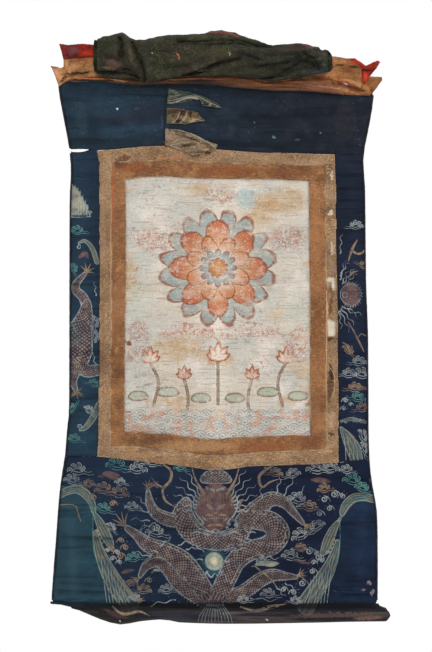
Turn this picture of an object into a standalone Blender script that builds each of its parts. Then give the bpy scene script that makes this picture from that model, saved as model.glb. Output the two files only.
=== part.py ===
"""A hanging scroll painting: a canvas in two cloth borders on blue silk, its cover gathered on top.

Sizes are in millimetres and become metres in place(). "across" runs to the right of the centre line,
"down" runs below the top edge, and "forward" comes out of the hanging plane towards the viewer.
"""

import math

import bmesh
import bpy
from mathutils import Vector, noise

MM = 0.001

# Cloth thickness and the spaces between pieces
SILK = 1.6
CANVAS = 1.2
HEADING = 2.0
BINDING = 3.0
SEAM_GAP = 1.0
GRID = 38.0
SCRAP_GRID = 16.0
BAND_ROWS = 22
MIDDLE_DOWN = 800.0
SETTLE_STEPS = 4
BISECT_MERGE = 0.6

# How far the middle of each layer stands forward of the silk
CANVAS_LAYER = -3.0
RED_LAYER = -3.4
HEADING_LAYER = 3.6
PATCH_LAYER = 3.2
BINDING_WIDTH = 6.0

# Upright lines, as (across, down)
LEFT_EDGE = [
    (-460, 160), (-450, 225), (-438, 289), (-428, 345), (-423, 410), (-427, 492), (-428, 898),
    (-429, 1101), (-435, 1159), (-440, 1225), (-452, 1301), (-460, 1376), (-466, 1460), (-475, 1580),
    (-480, 1655), (-479, 1664),
]
RIGHT_EDGE = [
    (456, 160), (450, 225), (435, 306), (424, 373), (429, 463), (432, 724), (438, 898),
    (440, 1185), (446, 1290), (453, 1330), (464, 1400), (466, 1470), (466, 1664), (488, 1675),
    (496, 1690), (486, 1714),
]
FRAME_LEFT = [(-348, 349), (-341, 390), (-341, 898), (-346, 1240)]
FRAME_RIGHT = [(342, 360), (345, 434), (345, 492), (352, 869), (352, 1257)]
SEAM = [(-148, 150), (-154, 340)]
BAND_LEFT = [(-307, 380), (-305, 700), (-309, 1225)]
BAND_RIGHT = [(313, 380), (316, 700), (315, 1225)]
WINDOW_LEFT = [(-266, 430), (-264, 620), (-267, 900), (-268, 1170)]
WINDOW_RIGHT = [(267, 430), (270, 800), (271, 1180)]

# Level lines, as (across, down)
PANEL_TOP = [(-470, 158), (-139, 150), (72, 160), (241, 170), (345, 178), (460, 184)]
TEAR_TOP = [(-428, 344), (-412, 347), (-396, 343), (-372, 346), (-348, 347.5)]
TEAR_BOTTOM = [(-428, 355), (-410, 352), (-390, 356), (-370, 351), (-348, 350)]
FRAME_TOP = [
    (-348, 349), (-258, 341), (-197, 336), (-154, 335), (12, 346), (84, 351), (154, 355), (226, 356),
    (345, 360),
]
BAND_TOP = [(-310, 382), (-150, 377), (12, 384), (318, 390)]
BAND_BOTTOM = [(-312, 1205), (-150, 1214), (-10, 1232), (120, 1223), (320, 1216)]
WINDOW_TOP = [(-268, 434), (-245, 426), (-145, 423), (-38, 430), (119, 430), (271, 435)]
WINDOW_BOTTOM = [(-270, 1164), (-151, 1170), (-35, 1185), (-15, 1187), (49, 1181), (273, 1174)]
FRAME_BOTTOM = [
    (-445, 1234), (-348, 1235), (-252, 1246), (-80, 1265), (-34, 1273), (0, 1275), (34, 1272), (80, 1265),
    (226, 1259), (300, 1257), (360, 1252), (445, 1243),
]
CREASE = [(-482, 1655), (-400, 1662), (-300, 1672), (-100, 1667), (200, 1668), (498, 1660)]
HEM = [
    (-482, 1663), (-444, 1666), (-400, 1681), (-334, 1708), (-278, 1722), (-218, 1712), (-151, 1707),
    (-119, 1715), (38, 1720), (261, 1717), (498, 1713),
]
ROLL_TOP = [(-435, 141), (-300, 139), (-139, 131), (72, 130), (180, 139), (299, 143), (331, 156), (368, 182)]
ROLL_FOOT = [(-435, 155), (-139, 156), (72, 170), (241, 177), (299, 181), (368, 188)]
BUNDLE_TOP = [
    (-360, 40), (-352, 20), (-320, 13), (-278, 9), (-256, 21), (-226, 30), (-139, 14), (-22, 3), (8, 0),
    (40, 7), (100, 22), (154, 38), (246, 36), (292, 50), (306, 66), (322, 60), (336, 78),
]
BUNDLE_FOOT = [
    (-360, 118), (-354, 126), (-281, 138), (-240, 148), (-205, 153), (-165, 142), (-113, 132), (52, 132),
    (154, 146), (241, 135), (325, 123), (336, 104),
]
BUNDLE_DEPTH = [(-360, 30), (-344, 50), (-290, 60), (-200, 62), (0, 66), (150, 62), (290, 54), (336, 34)]

# Outlines cut to shape, as (across, down)
HEADING_OUTLINE = [
    (-444, 77), (-400, 71), (-120, 66), (150, 68), (332, 75), (377, 82), (399, 94), (418, 109), (419, 149),
    (427, 158), (444, 135), (476, 137), (477, 146), (459, 173), (442, 190), (366, 187), (300, 172),
    (120, 168), (-139, 160), (-430, 163), (-458, 164), (-464, 146), (-472, 124), (-481, 105), (-450, 110),
    (-444, 106),
]
RED_OUTLINE = [
    (-458, 38), (-432, 42), (-394, 38), (-357, 41), (-250, 50), (-100, 46), (60, 44), (200, 60), (300, 78),
    (345, 75), (377, 81), (400, 80), (420, 93), (432, 102), (452, 93), (465, 88), (473, 92), (462, 110),
    (445, 130), (437, 146), (441, 158), (425, 161), (300, 140), (-200, 128), (-430, 120), (-442, 100),
    (-450, 65),
]
PATCH_UPPER = [
    (-139, 169), (-145, 212), (-97, 210), (-68, 200), (-49, 202), (-40, 219), (14, 226), (3, 214), (-35, 194),
    (-78, 181),
]
PATCH_MIDDLE = [
    (-145, 226), (-116, 226), (-55, 239), (-48, 252), (-35, 263), (-62, 266), (-91, 272), (-145, 270),
]
PATCH_LOWER = [
    (-150, 285), (-106, 289), (-61, 303), (-32, 320), (3, 332), (-6, 347), (-24, 346), (-46, 358), (-72, 363),
    (-90, 352), (-150, 332),
]

# Holes worn through the right outer border, as (left, right, top, bottom)
HOLES = [(320, 338, 518, 536), (328, 343, 612, 650), (319, 342, 715, 748), (322, 345, 836, 884)]
HOLE_FRAY = 1.6

# Soft folds of the hanging cloth, as (across, down, length, width, turn in degrees, forward)
FOLDS = [
    (-385, 275, 190, 30, 68, 5.0),
    (380, 305, 190, 32, 112, 5.5),
    (-60, 228, 420, 34, 4, 2.5),
    (210, 250, 300, 36, -6, 3.0),
    (-388, 620, 520, 16, 89, 3.2),
    (-380, 1010, 460, 18, 92, 3.6),
    (392, 600, 480, 17, 91, 4.0),
    (400, 960, 560, 18, 88, 3.4),
    (0, 560, 460, 20, 1, 1.1),
    (-40, 700, 420, 24, -2, 1.3),
    (60, 862, 440, 20, 2, 1.1),
    (-20, 1010, 470, 26, -1, 1.4),
    (20, 1120, 420, 22, 1, 1.2),
    (0, 1262, 420, 42, 1, 3.6),
    (-210, 1430, 300, 46, 24, 4.5),
    (200, 1450, 330, 50, -20, 5.0),
    (-10, 1560, 300, 40, 3, 3.5),
    (-400, 1545, 150, 9, 5, 4.0),
    (-392, 1578, 170, 9, -3, 5.0),
    (-405, 1608, 150, 8, 3, 4.5),
    (-380, 1636, 190, 8, 6, 5.0),
    (395, 1540, 170, 9, -4, 4.0),
    (402, 1574, 160, 10, 3, 5.5),
    (385, 1606, 190, 8, -2, 5.0),
    (398, 1636, 170, 8, -5, 4.5),
]
EDGE_CURL = 6.0
EDGE_CURL_WIDTH = 26.0
EDGE_CURL_MIDDLE = 620.0
EDGE_CURL_LENGTH = 480.0

# Ridges and grooves of the gathered cover, as
# (start across, start down, end across, end down, width, forward)
BUNDLE_FOLDS = [
    (-166, 128, -22, 92, 9, 10.0),
    (-22, 92, 60, 82, 10, 5.0),
    (-150, 138, 0, 106, 8, -11.0),
    (0, 106, 150, 114, 11, -6.0),
    (-150, 40, -35, 32, 7, -6.0),
    (-35, 32, 65, 33, 7, -9.0),
    (65, 33, 157, 46, 7, -9.0),
    (-100, 20, 65, 14, 9, 6.0),
    (116, 138, 203, 121, 8, -9.0),
    (203, 121, 241, 97, 8, -10.0),
    (241, 97, 264, 91, 8, -10.0),
    (264, 91, 299, 116, 8, -8.0),
    (268, 70, 298, 98, 9, 7.0),
    (300, 56, 307, 112, 6, -8.0),
    (322, 72, 325, 116, 8, 5.0),
    (-299, 30, -277, 68, 8, -12.0),
    (-277, 68, -287, 94, 8, -11.0),
    (-279, 10, -268, 56, 10, 9.0),
    (-268, 56, -255, 82, 9, 8.0),
    (-249, 42, -226, 130, 9, -11.0),
    (-213, 40, -200, 122, 12, 8.0),
    (-350, 108, -250, 106, 9, 6.0),
    (-347, 126, -275, 119, 7, -8.0),
    (-275, 119, -235, 138, 7, -8.0),
    (-150, 60, -60, 78, 10, -3.5),
    (30, 62, 200, 72, 12, -4.0),
    (0, 52, 180, 96, 13, 4.0),
]
BUNDLE_BACK = 6.0
BUNDLE_FOOT_BACK = 18.0
BUNDLE_BACK_STEP = (92, 124)
BUNDLE_LUMPS = 5.0
BUNDLE_STATIONS = 58
BUNDLE_SIDES = 30
BUNDLE_SQUARENESS = 2.5

# The lip rolled from the lower edge of the heading
LIP_BACK = 5.6
LIP_DEPTH = 11.0
LIP_STATIONS = 44
LIP_SIDES = 10

# The lower panel's rows, closer where its corners wrinkle, and the hem rolled up at its foot
LOWER_COLUMNS = 34
LOWER_ROWS = [0.0, 0.08, 0.16, 0.24, 0.32, 0.4, 0.48, 0.56, 0.64, 0.7, 0.75, 0.8, 0.84, 0.88, 0.92, 0.96, 1.0]
HEM_ROWS = 9
HEM_FORWARD = 34.0
HEM_BACKWARD = 12.0
HEM_FULL_HEIGHT = 48.0
HEM_LUMP = 0.10

# Lengths over which the closed ends of a tube are drawn in, and how far
END_SHARE = 12.0
BUNDLE_END = 0.74
LIP_END = 0.5
LIP_SLACK = 0.22

# How far loose corners stand forward
EAR_LIFT = 7.0
EARS = (-440.0, 425.0)
EAR_LENGTH = 45.0
RED_CORNER = 436.0
RED_CORNER_LENGTH = 37.0
RED_LIFT = 5.0
RED_RIPPLE = 1.5
SCRAP_LIFT = 2.5
SCRAP_LENGTH = 150.0

COLOURS = {
    "upper_silk": (31, 42, 58),
    "lower_silk": (28, 55, 78),
    "outer_band": (165, 131, 88),
    "inner_band": (146, 96, 60),
    "canvas": (206, 190, 166),
    "binding": (24, 26, 32),
    "heading": (168, 124, 76),
    "lip": (128, 80, 56),
    "red": (168, 50, 40),
    "cover": (50, 54, 42),
    "wave_scrap": (112, 120, 108),
    "tan_scrap": (150, 132, 104),
}
CLOTH_ROUGHNESS = 0.85


def clear_scene():
    """Empty the scene this model goes into."""
    for item in list(bpy.data.objects):
        bpy.data.objects.remove(item, do_unlink=True)


def linear(channel):
    """One 0-255 display value as the linear value a shader wants."""
    value = channel / 255
    return value / 12.92 if value <= 0.04045 else ((value + 0.055) / 1.055) ** 2.4


def material(name, colour):
    """A matt cloth finish in one colour."""
    made = bpy.data.materials.new(name)
    made.use_nodes = True
    shader = made.node_tree.nodes["Principled BSDF"]
    shader.inputs["Base Color"].default_value = (*[linear(c) for c in COLOURS[colour]], 1.0)
    shader.inputs["Roughness"].default_value = CLOTH_ROUGHNESS
    shader.inputs["Metallic"].default_value = 0.0
    return made


def finish(bm, name, colour):
    """Turn a closed bmesh into a named object with its own material."""
    bmesh.ops.triangulate(bm, faces=bm.faces[:])
    bmesh.ops.recalc_face_normals(bm, faces=bm.faces[:])
    mesh = bpy.data.meshes.new(name)
    bm.to_mesh(mesh)
    bm.free()
    mesh.materials.append(material(name + "_cloth", colour))
    piece = bpy.data.objects.new(name, mesh)
    bpy.context.scene.collection.objects.link(piece)
    return piece


def place(across, down, forward):
    """A point of the hanging, in metres."""
    return Vector((across, -forward, -down)) * MM


def slope(line, index, known, wanted):
    """How steeply a line of points runs through one of them, level at its turning points."""
    if index in (0, len(line) - 1):
        return 0.0
    before, here, after = line[index - 1 : index + 2]
    rise_in = (here[wanted] - before[wanted]) / (here[known] - before[known])
    rise_out = (after[wanted] - here[wanted]) / (after[known] - here[known])
    if rise_in * rise_out <= 0:
        return 0.0
    return 2 * rise_in * rise_out / (rise_in + rise_out)


def reading(line, key, known, wanted):
    """The wanted coordinate of a smooth line through points, where its known coordinate is key."""
    if key <= line[0][known]:
        return line[0][wanted]
    if key >= line[-1][known]:
        return line[-1][wanted]
    index = max(i for i, point in enumerate(line) if point[known] <= key)
    first, second = line[index], line[index + 1]
    span = second[known] - first[known]
    share = (key - first[known]) / span
    leave = slope(line, index, known, wanted) * span
    arrive = slope(line, index + 1, known, wanted) * span
    rise = second[wanted] - first[wanted]
    curve = share * share * (3 - 2 * share)
    bend = share * (1 - share)
    return first[wanted] + rise * curve + bend * (leave * (1 - share) - arrive * share)


def across_of(line, down):
    """Where an upright line stands at this height."""
    return reading(line, down, 1, 0)


def down_of(line, across):
    """Where a level line runs at this place."""
    return reading(line, across, 0, 1)


def fold(across, down, row):
    """How far one soft fold lifts the cloth at a point."""
    middle_across, middle_down, length, width, turn, rise = row
    angle = math.radians(turn)
    right = across - middle_across
    below = down - middle_down
    along = right * math.cos(angle) + below * math.sin(angle)
    beside = below * math.cos(angle) - right * math.sin(angle)
    return rise * math.exp(-((beside / width) ** 2) - (along / (length / 2)) ** 4)


def forward_of(across, down):
    """How far the hanging cloth stands forward of its plane."""
    lift = sum(fold(across, down, row) for row in FOLDS)
    from_edge = min(across - across_of(LEFT_EDGE, down), across_of(RIGHT_EDGE, down) - across)
    height = (down - EDGE_CURL_MIDDLE) / EDGE_CURL_LENGTH
    curl = EDGE_CURL * math.exp(-((max(from_edge, 0.0) / EDGE_CURL_WIDTH) ** 2) - height**2)
    return lift + curl


def thicken(bm, thickness, layer, offset=None):
    """Lay flat faces on the folds and give them a back, as one closed sheet."""
    extra = offset if offset else (lambda across, down: 0.0)
    front = bm.faces[:]
    made = bmesh.ops.extrude_face_region(bm, geom=front, use_keep_orig=True)
    back = {v for v in made["geom"] if isinstance(v, bmesh.types.BMVert)}
    for vert in bm.verts:
        across, down = vert.co.x, vert.co.y
        side = -thickness / 2 if vert in back else thickness / 2
        vert.co = place(across, down, forward_of(across, down) + layer + extra(across, down) + side)


def warped_grid(columns, rows, left, right, top, bottom):
    """A flat grid that fills the space between two upright and two level lines, in millimetres."""
    bm = bmesh.new()
    bmesh.ops.create_grid(bm, x_segments=columns, y_segments=rows, size=0.5)
    for vert in bm.verts:
        share_across = vert.co.x + 0.5
        share_down = vert.co.y + 0.5
        across = (across_of(left, MIDDLE_DOWN) + across_of(right, MIDDLE_DOWN)) / 2
        for _ in range(SETTLE_STEPS):
            start = down_of(top, across)
            down = start + share_down * (down_of(bottom, across) - start)
            start = across_of(left, down)
            across = start + share_across * (across_of(right, down) - start)
        vert.co = Vector((across, down, 0.0))
    return bm


def shifted(line, across=0.0, down=0.0):
    """A line moved over, for the gap at a seam."""
    return [(point[0] + across, point[1] + down) for point in line]


def panel(name, colour, left, right, top, bottom, thickness=SILK, layer=0.0):
    """A panel or border strip sewn in between its neighbours, less the gap at each seam."""
    left = shifted(left, across=SEAM_GAP / 2)
    right = shifted(right, across=-SEAM_GAP / 2)
    top = shifted(top, down=SEAM_GAP / 2)
    bottom = shifted(bottom, down=-SEAM_GAP / 2)
    middle_across = (left[0][0] + right[0][0]) / 2
    middle_down = (down_of(top, middle_across) + down_of(bottom, middle_across)) / 2
    width = across_of(right, middle_down) - across_of(left, middle_down)
    height = down_of(bottom, middle_across) - down_of(top, middle_across)
    columns = max(1, round(width / GRID))
    rows = max(1, round(height / GRID))
    bm = warped_grid(columns, rows, left, right, top, bottom)
    bmesh.ops.triangulate(bm, faces=bm.faces[:])
    thicken(bm, thickness, layer)
    return finish(bm, name, colour)


def worn_band(name, colour, left, right, top, bottom):
    """A border strip with the holes worn through it."""
    left = shifted(left, across=SEAM_GAP / 2)
    right = shifted(right, across=-SEAM_GAP / 2)
    bm = warped_grid(2, BAND_ROWS, left, right, top, bottom)
    for hole_left, hole_right, hole_top, hole_bottom in HOLES:
        middle = (hole_top + hole_bottom) / 2
        near = [f for f in bm.faces if abs(f.calc_center_median().y - middle) < 2 * GRID]
        for point, normal in (
            ((hole_left, 0, 0), (1, 0, 0)),
            ((hole_right, 0, 0), (1, 0, 0)),
            ((0, hole_top, 0), (0, 1, 0)),
            ((0, hole_bottom, 0), (0, 1, 0)),
        ):
            near = [f for f in near if f.is_valid]
            parts = near + list({e for f in near for e in f.edges}) + list({v for f in near for v in f.verts})
            cut = bmesh.ops.bisect_plane(bm, geom=parts, plane_co=point, plane_no=normal, dist=0.01)
            near = [item for item in cut["geom"] if isinstance(item, bmesh.types.BMFace)]
        gone = [
            f
            for f in bm.faces
            if hole_left < f.calc_center_median().x < hole_right
            and hole_top < f.calc_center_median().y < hole_bottom
        ]
        bmesh.ops.delete(bm, geom=gone, context="FACES")
        rim = [v for v in bm.verts if v.is_boundary and hole_left - 1 < v.co.x < hole_right + 1]
        for vert in rim:
            if hole_top - 1 < vert.co.y < hole_bottom + 1:
                vert.co.x += HOLE_FRAY * noise.noise(vert.co * 0.11)
                vert.co.y += HOLE_FRAY * noise.noise(vert.co * 0.17)
    bmesh.ops.triangulate(bm, faces=bm.faces[:])
    thicken(bm, SILK, 0.0)
    return finish(bm, name, colour)


def cut_piece(name, colour, outline, thickness, layer, grid, offset=None):
    """A piece cut to an outline, crossed by a grid of edges so that it can follow the folds."""
    bm = bmesh.new()
    bm.faces.new([bm.verts.new((across, down, 0.0)) for across, down in outline])
    for axis in (0, 1):
        low = min(point[axis] for point in outline)
        high = max(point[axis] for point in outline)
        steps = max(1, round((high - low) / grid))
        for step in range(1, steps):
            point = [0.0, 0.0, 0.0]
            normal = [0.0, 0.0, 0.0]
            point[axis] = low + (high - low) * step / steps
            normal[axis] = 1.0
            parts = bm.verts[:] + bm.edges[:] + bm.faces[:]
            bmesh.ops.bisect_plane(bm, geom=parts, plane_co=point, plane_no=normal, dist=BISECT_MERGE)
    bmesh.ops.triangulate(bm, faces=bm.faces[:])
    thicken(bm, thickness, layer, offset)
    return finish(bm, name, colour)


def binding(name, line, start, stop, inward):
    """The narrow dark strip sewn over a side edge."""
    outer = line
    inner = shifted(outer, across=inward * (BINDING_WIDTH - SEAM_GAP))
    left, right = (outer, inner) if inward > 0 else (inner, outer)
    rows = round((stop - start) / GRID)
    bm = warped_grid(1, rows, left, right, [(-500, start), (500, start)], [(-500, stop), (500, stop)])
    bmesh.ops.triangulate(bm, faces=bm.faces[:])
    thicken(bm, BINDING, 0.0)
    return finish(bm, name, "binding")


def lower_point(row, share_across):
    """Where one point of the lower panel lies, and how far round the rolled hem it is, from 0 to 1."""
    last_row = len(LOWER_ROWS) - 1
    across = (LEFT_EDGE[-1][0] + RIGHT_EDGE[-1][0]) / 2
    turn = max(0.0, (row - last_row) / HEM_ROWS)
    for _ in range(SETTLE_STEPS):
        top = down_of(FRAME_BOTTOM, across) + SEAM_GAP / 2
        crease = down_of(CREASE, across)
        foot = down_of(HEM, across)
        if row <= last_row:
            down = top + LOWER_ROWS[row] * (crease - top)
            inset = BINDING_WIDTH
        else:
            down = crease + (foot - crease) * (1 - math.cos(math.pi * turn)) / 2
            inset = 0.0
        start = across_of(LEFT_EDGE, down) + inset
        across = start + share_across * (across_of(RIGHT_EDGE, down) - inset - start)
    return across, down, turn


def lower_panel():
    """The lower panel, which runs on into the hem that is rolled up at its foot, as one solid."""
    rows = len(LOWER_ROWS) - 1 + HEM_ROWS
    bm = bmesh.new()
    bmesh.ops.create_grid(bm, x_segments=LOWER_COLUMNS, y_segments=rows, size=0.5)
    turn_layer = bm.verts.layers.float.new("turn")
    for vert in bm.verts:
        row = round((vert.co.y + 0.5) * rows)
        across, down, turn = lower_point(row, vert.co.x + 0.5)
        vert.co = Vector((across, down, 0.0))
        vert[turn_layer] = turn
    bmesh.ops.triangulate(bm, faces=bm.faces[:])
    made = bmesh.ops.extrude_face_region(bm, geom=bm.faces[:], use_keep_orig=True)
    back = {v for v in made["geom"] if isinstance(v, bmesh.types.BMVert)}
    for vert in bm.verts:
        across, down = vert.co.x, vert.co.y
        turn = vert[turn_layer]
        height = down_of(HEM, across) - down_of(CREASE, across)
        fullness = min(1.0, height / HEM_FULL_HEIGHT) * math.sin(math.pi * turn)
        fullness *= 1 + HEM_LUMP * noise.noise(Vector((across * 0.012, down * 0.05, 3.0)))
        flat = forward_of(across, down) * (1 - turn)
        if vert in back:
            forward = flat - SILK / 2 - HEM_BACKWARD * fullness
        else:
            forward = flat + SILK / 2 + HEM_FORWARD * fullness
        vert.co = place(across, down, forward)
    return finish(bm, "bottom_panel", "lower_silk")


def ring_sweep(name, colour, stations, sides, section):
    """A long closed body: a tube of ring sections along the hanging, closed at both ends."""
    bm = bmesh.new()
    bmesh.ops.create_cone(bm, segments=sides, radius1=1.0, radius2=1.0, depth=1.0, cap_ends=True)
    lengthwise = [e for e in bm.edges if abs(e.verts[0].co.z - e.verts[1].co.z) > 0.5]
    bmesh.ops.subdivide_edges(bm, edges=lengthwise, cuts=stations - 2)
    for vert in bm.verts:
        share = vert.co.z + 0.5
        turn = math.atan2(vert.co.y, vert.co.x)
        across, down, forward = section(share, turn)
        vert.co = place(across, down, forward)
    return finish(bm, name, colour)


def from_stretch(across, down, row):
    """How far a point is from the straight stretch that one ridge or groove follows."""
    start = Vector(row[0:2])
    stretch = Vector(row[2:4]) - start
    point = Vector((across, down)) - start
    share = min(1.0, max(0.0, point.dot(stretch) / stretch.length_squared))
    return (point - stretch * share).length


def bundle_section(share, turn):
    """A point on the gathered cover: share runs along it, and turn runs round it from the front."""
    first, last = BUNDLE_TOP[0][0], BUNDLE_TOP[-1][0]
    across = first + (last - first) * share
    top = down_of(BUNDLE_TOP, across)
    foot = down_of(BUNDLE_FOOT, across)
    outward, upward = math.cos(turn), math.sin(turn)
    power = BUNDLE_SQUARENESS
    round_off = (abs(outward) ** power + abs(upward) ** power) ** (-1 / power)
    end_pull = min(1.0, BUNDLE_END + END_SHARE * min(share, 1 - share))
    down = (top + foot) / 2 - (foot - top) / 2 * upward * round_off * end_pull
    low, high = BUNDLE_BACK_STEP
    step = min(1.0, max(0.0, (down - low) / (high - low)))
    back = BUNDLE_BACK + (BUNDLE_FOOT_BACK - BUNDLE_BACK) * step * step * (3 - 2 * step)
    front = BUNDLE_BACK + down_of(BUNDLE_DEPTH, across) * end_pull
    forward = (back + front) / 2 + (front - back) / 2 * outward * round_off
    facing = max(0.0, outward) ** 0.6
    for row in BUNDLE_FOLDS:
        forward += facing * row[5] * math.exp(-((from_stretch(across, down, row) / row[4]) ** 2))
    forward += facing * BUNDLE_LUMPS * noise.noise(Vector((across * 0.028, down * 0.05, 2.0)))
    return across, down, max(forward, back)


def lip_section(share, turn):
    """A point on the rolled lip of the heading."""
    first, last = ROLL_TOP[0][0], ROLL_TOP[-1][0]
    across = first + (last - first) * share
    top = down_of(ROLL_TOP, across)
    foot = down_of(ROLL_FOOT, across)
    slack = 1 + LIP_SLACK * noise.noise(Vector((across * 0.018, 0.0, 5.0)))
    end_pull = min(1.0, LIP_END + END_SHARE * min(share, 1 - share))
    depth = LIP_DEPTH * slack * end_pull
    down = (top + foot) / 2 - (foot - top) / 2 * math.sin(turn)
    base = forward_of(across, down) + LIP_BACK
    return across, down, base + depth / 2 + depth / 2 * math.cos(turn)


def ear_lift(across, down):
    """The ears of the heading stand a little forward at their tips."""
    outside = max(0.0, EARS[0] - across, across - EARS[1])
    return EAR_LIFT * outside / EAR_LENGTH


def red_fold(across, down):
    """The red cloth ripples along its top, and its right corner turns forward."""
    corner = max(0.0, across - RED_CORNER) / RED_CORNER_LENGTH
    ripple = math.sin(across / 34) * math.exp(-(((down - 60) / 50) ** 2))
    return RED_LIFT * corner + RED_RIPPLE * ripple


def scrap_lift(across, down):
    """The scraps stand away from the silk at their free right ends."""
    share = max(0.0, (across + SCRAP_LENGTH) / SCRAP_LENGTH)
    return SCRAP_LIFT * share * (1 + math.sin(across / 9 + down / 14))


def build():
    """Make every piece of the hanging."""
    clear_scene()
    left_silk = shifted(LEFT_EDGE, across=BINDING_WIDTH)
    right_silk = shifted(RIGHT_EDGE, across=-BINDING_WIDTH)

    panel("top_panel_left", "upper_silk", left_silk, SEAM, PANEL_TOP, TEAR_TOP + FRAME_TOP[1:])
    panel("top_panel_right", "upper_silk", SEAM, right_silk, PANEL_TOP, FRAME_TOP)
    panel("side_strip_left", "lower_silk", left_silk, FRAME_LEFT, TEAR_BOTTOM, FRAME_BOTTOM)
    panel("side_strip_right", "upper_silk", FRAME_RIGHT, right_silk, FRAME_TOP, FRAME_BOTTOM)
    lower_panel()

    panel("outer_band_top", "outer_band", FRAME_LEFT, FRAME_RIGHT, FRAME_TOP, BAND_TOP)
    panel("outer_band_bottom", "outer_band", FRAME_LEFT, FRAME_RIGHT, BAND_BOTTOM, FRAME_BOTTOM)
    panel("outer_band_left", "outer_band", FRAME_LEFT, BAND_LEFT, BAND_TOP, BAND_BOTTOM)
    worn_band("outer_band_right", "outer_band", BAND_RIGHT, FRAME_RIGHT, BAND_TOP, BAND_BOTTOM)
    panel("inner_band_top", "inner_band", BAND_LEFT, BAND_RIGHT, BAND_TOP, WINDOW_TOP)
    panel("inner_band_bottom", "inner_band", BAND_LEFT, BAND_RIGHT, WINDOW_BOTTOM, BAND_BOTTOM)
    panel("inner_band_left", "inner_band", BAND_LEFT, WINDOW_LEFT, WINDOW_TOP, WINDOW_BOTTOM)
    panel("inner_band_right", "inner_band", WINDOW_RIGHT, BAND_RIGHT, WINDOW_TOP, WINDOW_BOTTOM)

    canvas_left = shifted(BAND_LEFT, across=-16)
    canvas_right = shifted(FRAME_RIGHT, across=-3)
    canvas_top = shifted(BAND_TOP, down=-14)
    canvas_bottom = shifted(BAND_BOTTOM, down=12)
    sides = (canvas_left, canvas_right, canvas_top, canvas_bottom)
    panel("painting_canvas", "canvas", *sides, thickness=CANVAS, layer=CANVAS_LAYER)

    binding("binding_left_upper", LEFT_EDGE, 161, 343, 1)
    binding("binding_left_lower", LEFT_EDGE, 356, 1652, 1)
    binding("binding_right", RIGHT_EDGE, 188, 1652, -1)

    cut_piece("heading_cloth", "heading", HEADING_OUTLINE, HEADING, HEADING_LAYER, GRID, ear_lift)
    cut_piece("red_cloth", "red", RED_OUTLINE, SILK, RED_LAYER, GRID, red_fold)
    cut_piece("patch_upper", "wave_scrap", PATCH_UPPER, SILK, PATCH_LAYER, SCRAP_GRID, scrap_lift)
    cut_piece("patch_middle", "tan_scrap", PATCH_MIDDLE, SILK, PATCH_LAYER, SCRAP_GRID, scrap_lift)
    cut_piece("patch_lower", "tan_scrap", PATCH_LOWER, SILK, PATCH_LAYER, SCRAP_GRID, scrap_lift)

    ring_sweep("heading_roll", "lip", LIP_STATIONS, LIP_SIDES, lip_section)
    ring_sweep("cover_bundle", "cover", BUNDLE_STATIONS, BUNDLE_SIDES, bundle_section)


build()
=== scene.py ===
# %% [markdown]
# A thangka is a painting on cotton that hangs in a mount of silk. This one is old: the silk is
# faded, the borders are rubbed down to their threads, and its cover is bunched up over the top.
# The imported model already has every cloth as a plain, thin solid in its true place. Each lesson
# below takes one of those solids, lays it out as a real cloth, and gives it its own dye, weave,
# folds and wear.
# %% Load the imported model
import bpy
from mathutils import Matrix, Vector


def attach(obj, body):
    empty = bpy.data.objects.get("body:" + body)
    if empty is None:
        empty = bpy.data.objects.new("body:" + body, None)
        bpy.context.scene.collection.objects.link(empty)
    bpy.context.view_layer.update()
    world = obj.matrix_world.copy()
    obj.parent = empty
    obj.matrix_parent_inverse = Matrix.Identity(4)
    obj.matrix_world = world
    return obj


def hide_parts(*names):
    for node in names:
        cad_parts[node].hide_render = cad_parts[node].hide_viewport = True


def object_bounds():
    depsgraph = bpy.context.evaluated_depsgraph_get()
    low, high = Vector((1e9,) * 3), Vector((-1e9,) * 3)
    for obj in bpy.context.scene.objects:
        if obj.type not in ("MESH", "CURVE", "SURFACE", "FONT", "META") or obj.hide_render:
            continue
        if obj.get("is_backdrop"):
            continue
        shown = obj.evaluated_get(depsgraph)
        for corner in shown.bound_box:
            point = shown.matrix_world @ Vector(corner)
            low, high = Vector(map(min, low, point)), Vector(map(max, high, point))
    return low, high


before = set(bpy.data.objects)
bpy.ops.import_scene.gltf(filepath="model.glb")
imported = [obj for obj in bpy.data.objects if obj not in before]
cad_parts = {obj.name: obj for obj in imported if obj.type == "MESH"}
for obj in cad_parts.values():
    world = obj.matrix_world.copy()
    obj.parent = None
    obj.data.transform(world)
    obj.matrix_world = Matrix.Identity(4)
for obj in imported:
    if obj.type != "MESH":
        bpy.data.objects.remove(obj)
cad_box = [list(corner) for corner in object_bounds()]
print("box of the packed model", cad_box)

# %% [markdown]
# The tools come next: Blender's own modules, arrays of numbers for the patterns, and the
# smooth noise that gives cloth its small accidents. Everything is in metres. Places are read off
# the photograph in its pixels, where one pixel is 2.9 mm on the scroll, because that is how a
# maker with only a photograph would mark them. The noise starts from a fixed number, because it
# would start from the clock otherwise and fray the edges in another way each time.
# %% Tools and measures
import math
import random

import bmesh
import bpy
import numpy
from mathutils import Vector, noise
from mathutils.bvhtree import BVHTree

noise.seed_set(11)
MM = 0.001
PIXEL = 2.9 * MM
MIDDLE_PX = 217
TOP_PX = 30.5
WELD = 0.05 * MM


def at(px, py):
    """The place on the scroll, across and up in metres, of a pixel of the photograph."""
    return ((px - MIDDLE_PX) * PIXEL, (TOP_PX - py) * PIXEL)


def pixel(place):
    """The pixel of the photograph that shows a place: at() the other way round."""
    return place.x / PIXEL + MIDDLE_PX, TOP_PX - place.z / PIXEL


def ramp(share):
    """A share of the way, kept between 0 and 1."""
    return min(1.0, max(0.0, share))


print("the photograph's corner is at", at(0, 0))

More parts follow.
